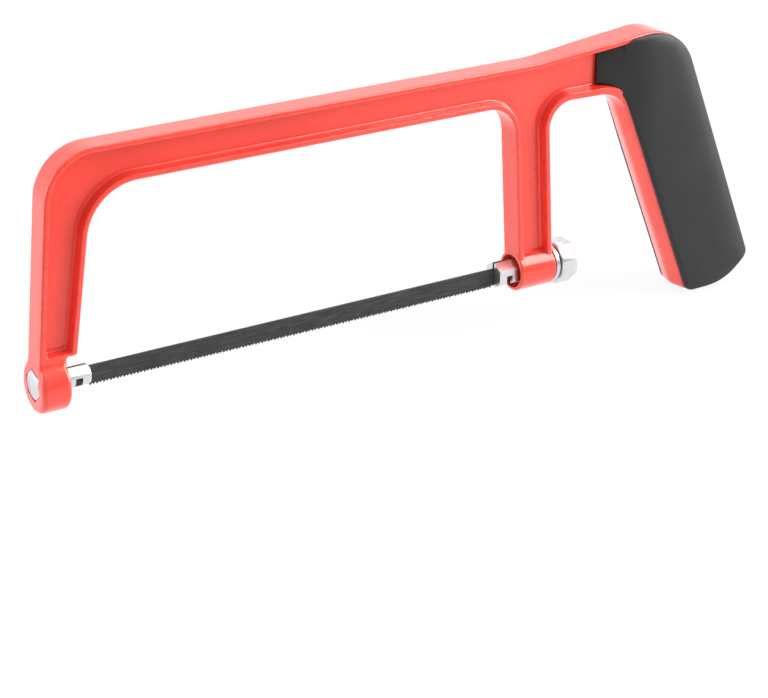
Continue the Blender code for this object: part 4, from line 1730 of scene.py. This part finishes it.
@dataclass
class Studio:
    """Camera, soft light, white surroundings and a pale floor.

    What the saw mirrors from the front is dimmed. FLOOR_DIM holds the distances along FLOOR_FRONT between
    which the floor grows dim. FRONT_DIM and HEIGHT_DIM hold limits of a direction's Y and Z in the same way,
    for the surroundings.
    """

    FLOOR_FRONT: ClassVar[tuple[float, float, float]] = (-0.52, -0.85, 0.0)
    FLOOR_DIM: ClassVar[Point] = (0.14, 0.26)
    FRONT_DIM: ClassVar[Point] = (0.3, -0.4)
    HEIGHT_DIM: ClassVar[Point] = (1.0, 0.0)

    lens: float = 100.45
    sensor: float = 36.0
    nearest: float = 10.0 * MM
    position: tuple[float, float, float] = (-0.42078, -0.50865, 0.22975)
    target: tuple[float, float, float] = (-0.1092, 0.0, -0.04083)
    floor_size: float = 8.0
    floor_gap: float = 0.5 * MM
    floor_colour: Colour = (0.92, 0.92, 0.92, 1.0)
    floor_glow: float = 0.9
    ambient: float = 0.46
    dim_front: float = 0.65
    boxes: tuple[Softbox, ...] = (
        Softbox("overhead_softbox", (-0.05, 0.25, 0.8), (1.2, 0.8), 2.8),
        Softbox("left_softbox", (-0.95, 0.40, 0.35), (0.8, 0.8), 5.5),
        Softbox("key_softbox", (0.80, -0.50, 0.80), (0.75, 0.85), 13.0),
        Softbox("right_softbox", (1.05, -0.40, 0.12), (0.6, 0.6), 9.0),
    )

    def camera(self) -> None:
        """Stand the camera where the saw is seen from its front left, a little from above."""
        data = bpy.data.cameras.new("camera")
        data.lens = self.lens
        data.sensor_width = self.sensor
        data.clip_start = self.nearest
        item = add_object("camera", data)
        aim(item, Vector(self.position), Vector(self.target) - Vector(self.position))
        bpy.context.scene.camera = item

    def floor(self, height: float) -> None:
        """Lay a pale floor with a faint shadow: white to the camera, dimmer in front to reflections.

        Args:
            height: Z of the saw's lowest point.
        """
        bm = bmesh.new()
        bmesh.ops.create_grid(bm, x_segments=1, y_segments=1, size=self.floor_size / 2.0)
        bmesh.ops.translate(bm, verts=bm.verts, vec=(self.target[0], 0.0, height - self.floor_gap))
        item = add_mesh("floor", bm)
        material, tree = new_tree("pale_floor")
        seen, mirrored = tree.rays()
        sockets = {0: tree.place(), 1: self.FLOOR_FRONT}
        forward = tree.value("ShaderNodeVectorMath", "Value", sockets, operation="DOT_PRODUCT")
        strength = 1.0 - mirrored * forward.between(*self.FLOOR_DIM) * self.dim_front
        pale = tree.node("ShaderNodeBsdfDiffuse", {"Color": self.floor_colour})
        white = tree.node("ShaderNodeEmission", {"Color": WHITE, "Strength": strength})
        share = (seen + mirrored) * self.floor_glow
        tree.close(tree.node("ShaderNodeMixShader", {0: share, 1: pale.outputs[0], 2: white.outputs[0]}))
        item.data.materials.append(material)

    def surroundings(self) -> None:
        """Surround the saw with an even light: white to the camera, dimmer in front to reflections."""
        world = bpy.data.worlds.new("white_studio")
        bpy.context.scene.world = world
        world.use_nodes = True
        tree = NodeTree(world.node_tree)
        seen, mirrored = tree.rays()
        gaze = tree.node("ShaderNodeTexCoord").outputs["Generated"]
        sky = tree.node("ShaderNodeSeparateXYZ", {0: gaze}).outputs
        front = Value(tree, sky["Y"]).between(*self.FRONT_DIM)
        low = Value(tree, sky["Z"]).between(*self.HEIGHT_DIM)
        shown = seen + mirrored * (1.0 - front * low * self.dim_front)
        strength = self.ambient + tree.maths("MAXIMUM", seen, mirrored) * (shown - self.ambient)
        light = tree.node("ShaderNodeBackground", {"Color": WHITE, "Strength": strength})
        tree.close(light, "ShaderNodeOutputWorld")

    def build(self) -> None:
        """Set up the studio round the saw."""
        bpy.context.scene.view_settings.view_transform = "Standard"
        self.camera()
        self.surroundings()
        self.floor(CAD_BOX[0][2])
        for box in self.boxes:
            box.build(Vector(self.target))


def main() -> None:
    """Build the saw and its studio, in order."""
    logging.basicConfig(level=logging.INFO, format="%(name)s: %(message)s")
    finishes = make_finishes()
    blades = BladeSet()
    shop = Workshop(blades.drop, finishes)
    casting = Casting(blades.pin_spacing)
    Studio().build()
    for assembly in (casting, GripPanels(casting), Studs(casting, blades), blades):
        assembly.build(shop)


if __name__ == "__main__":
    main()
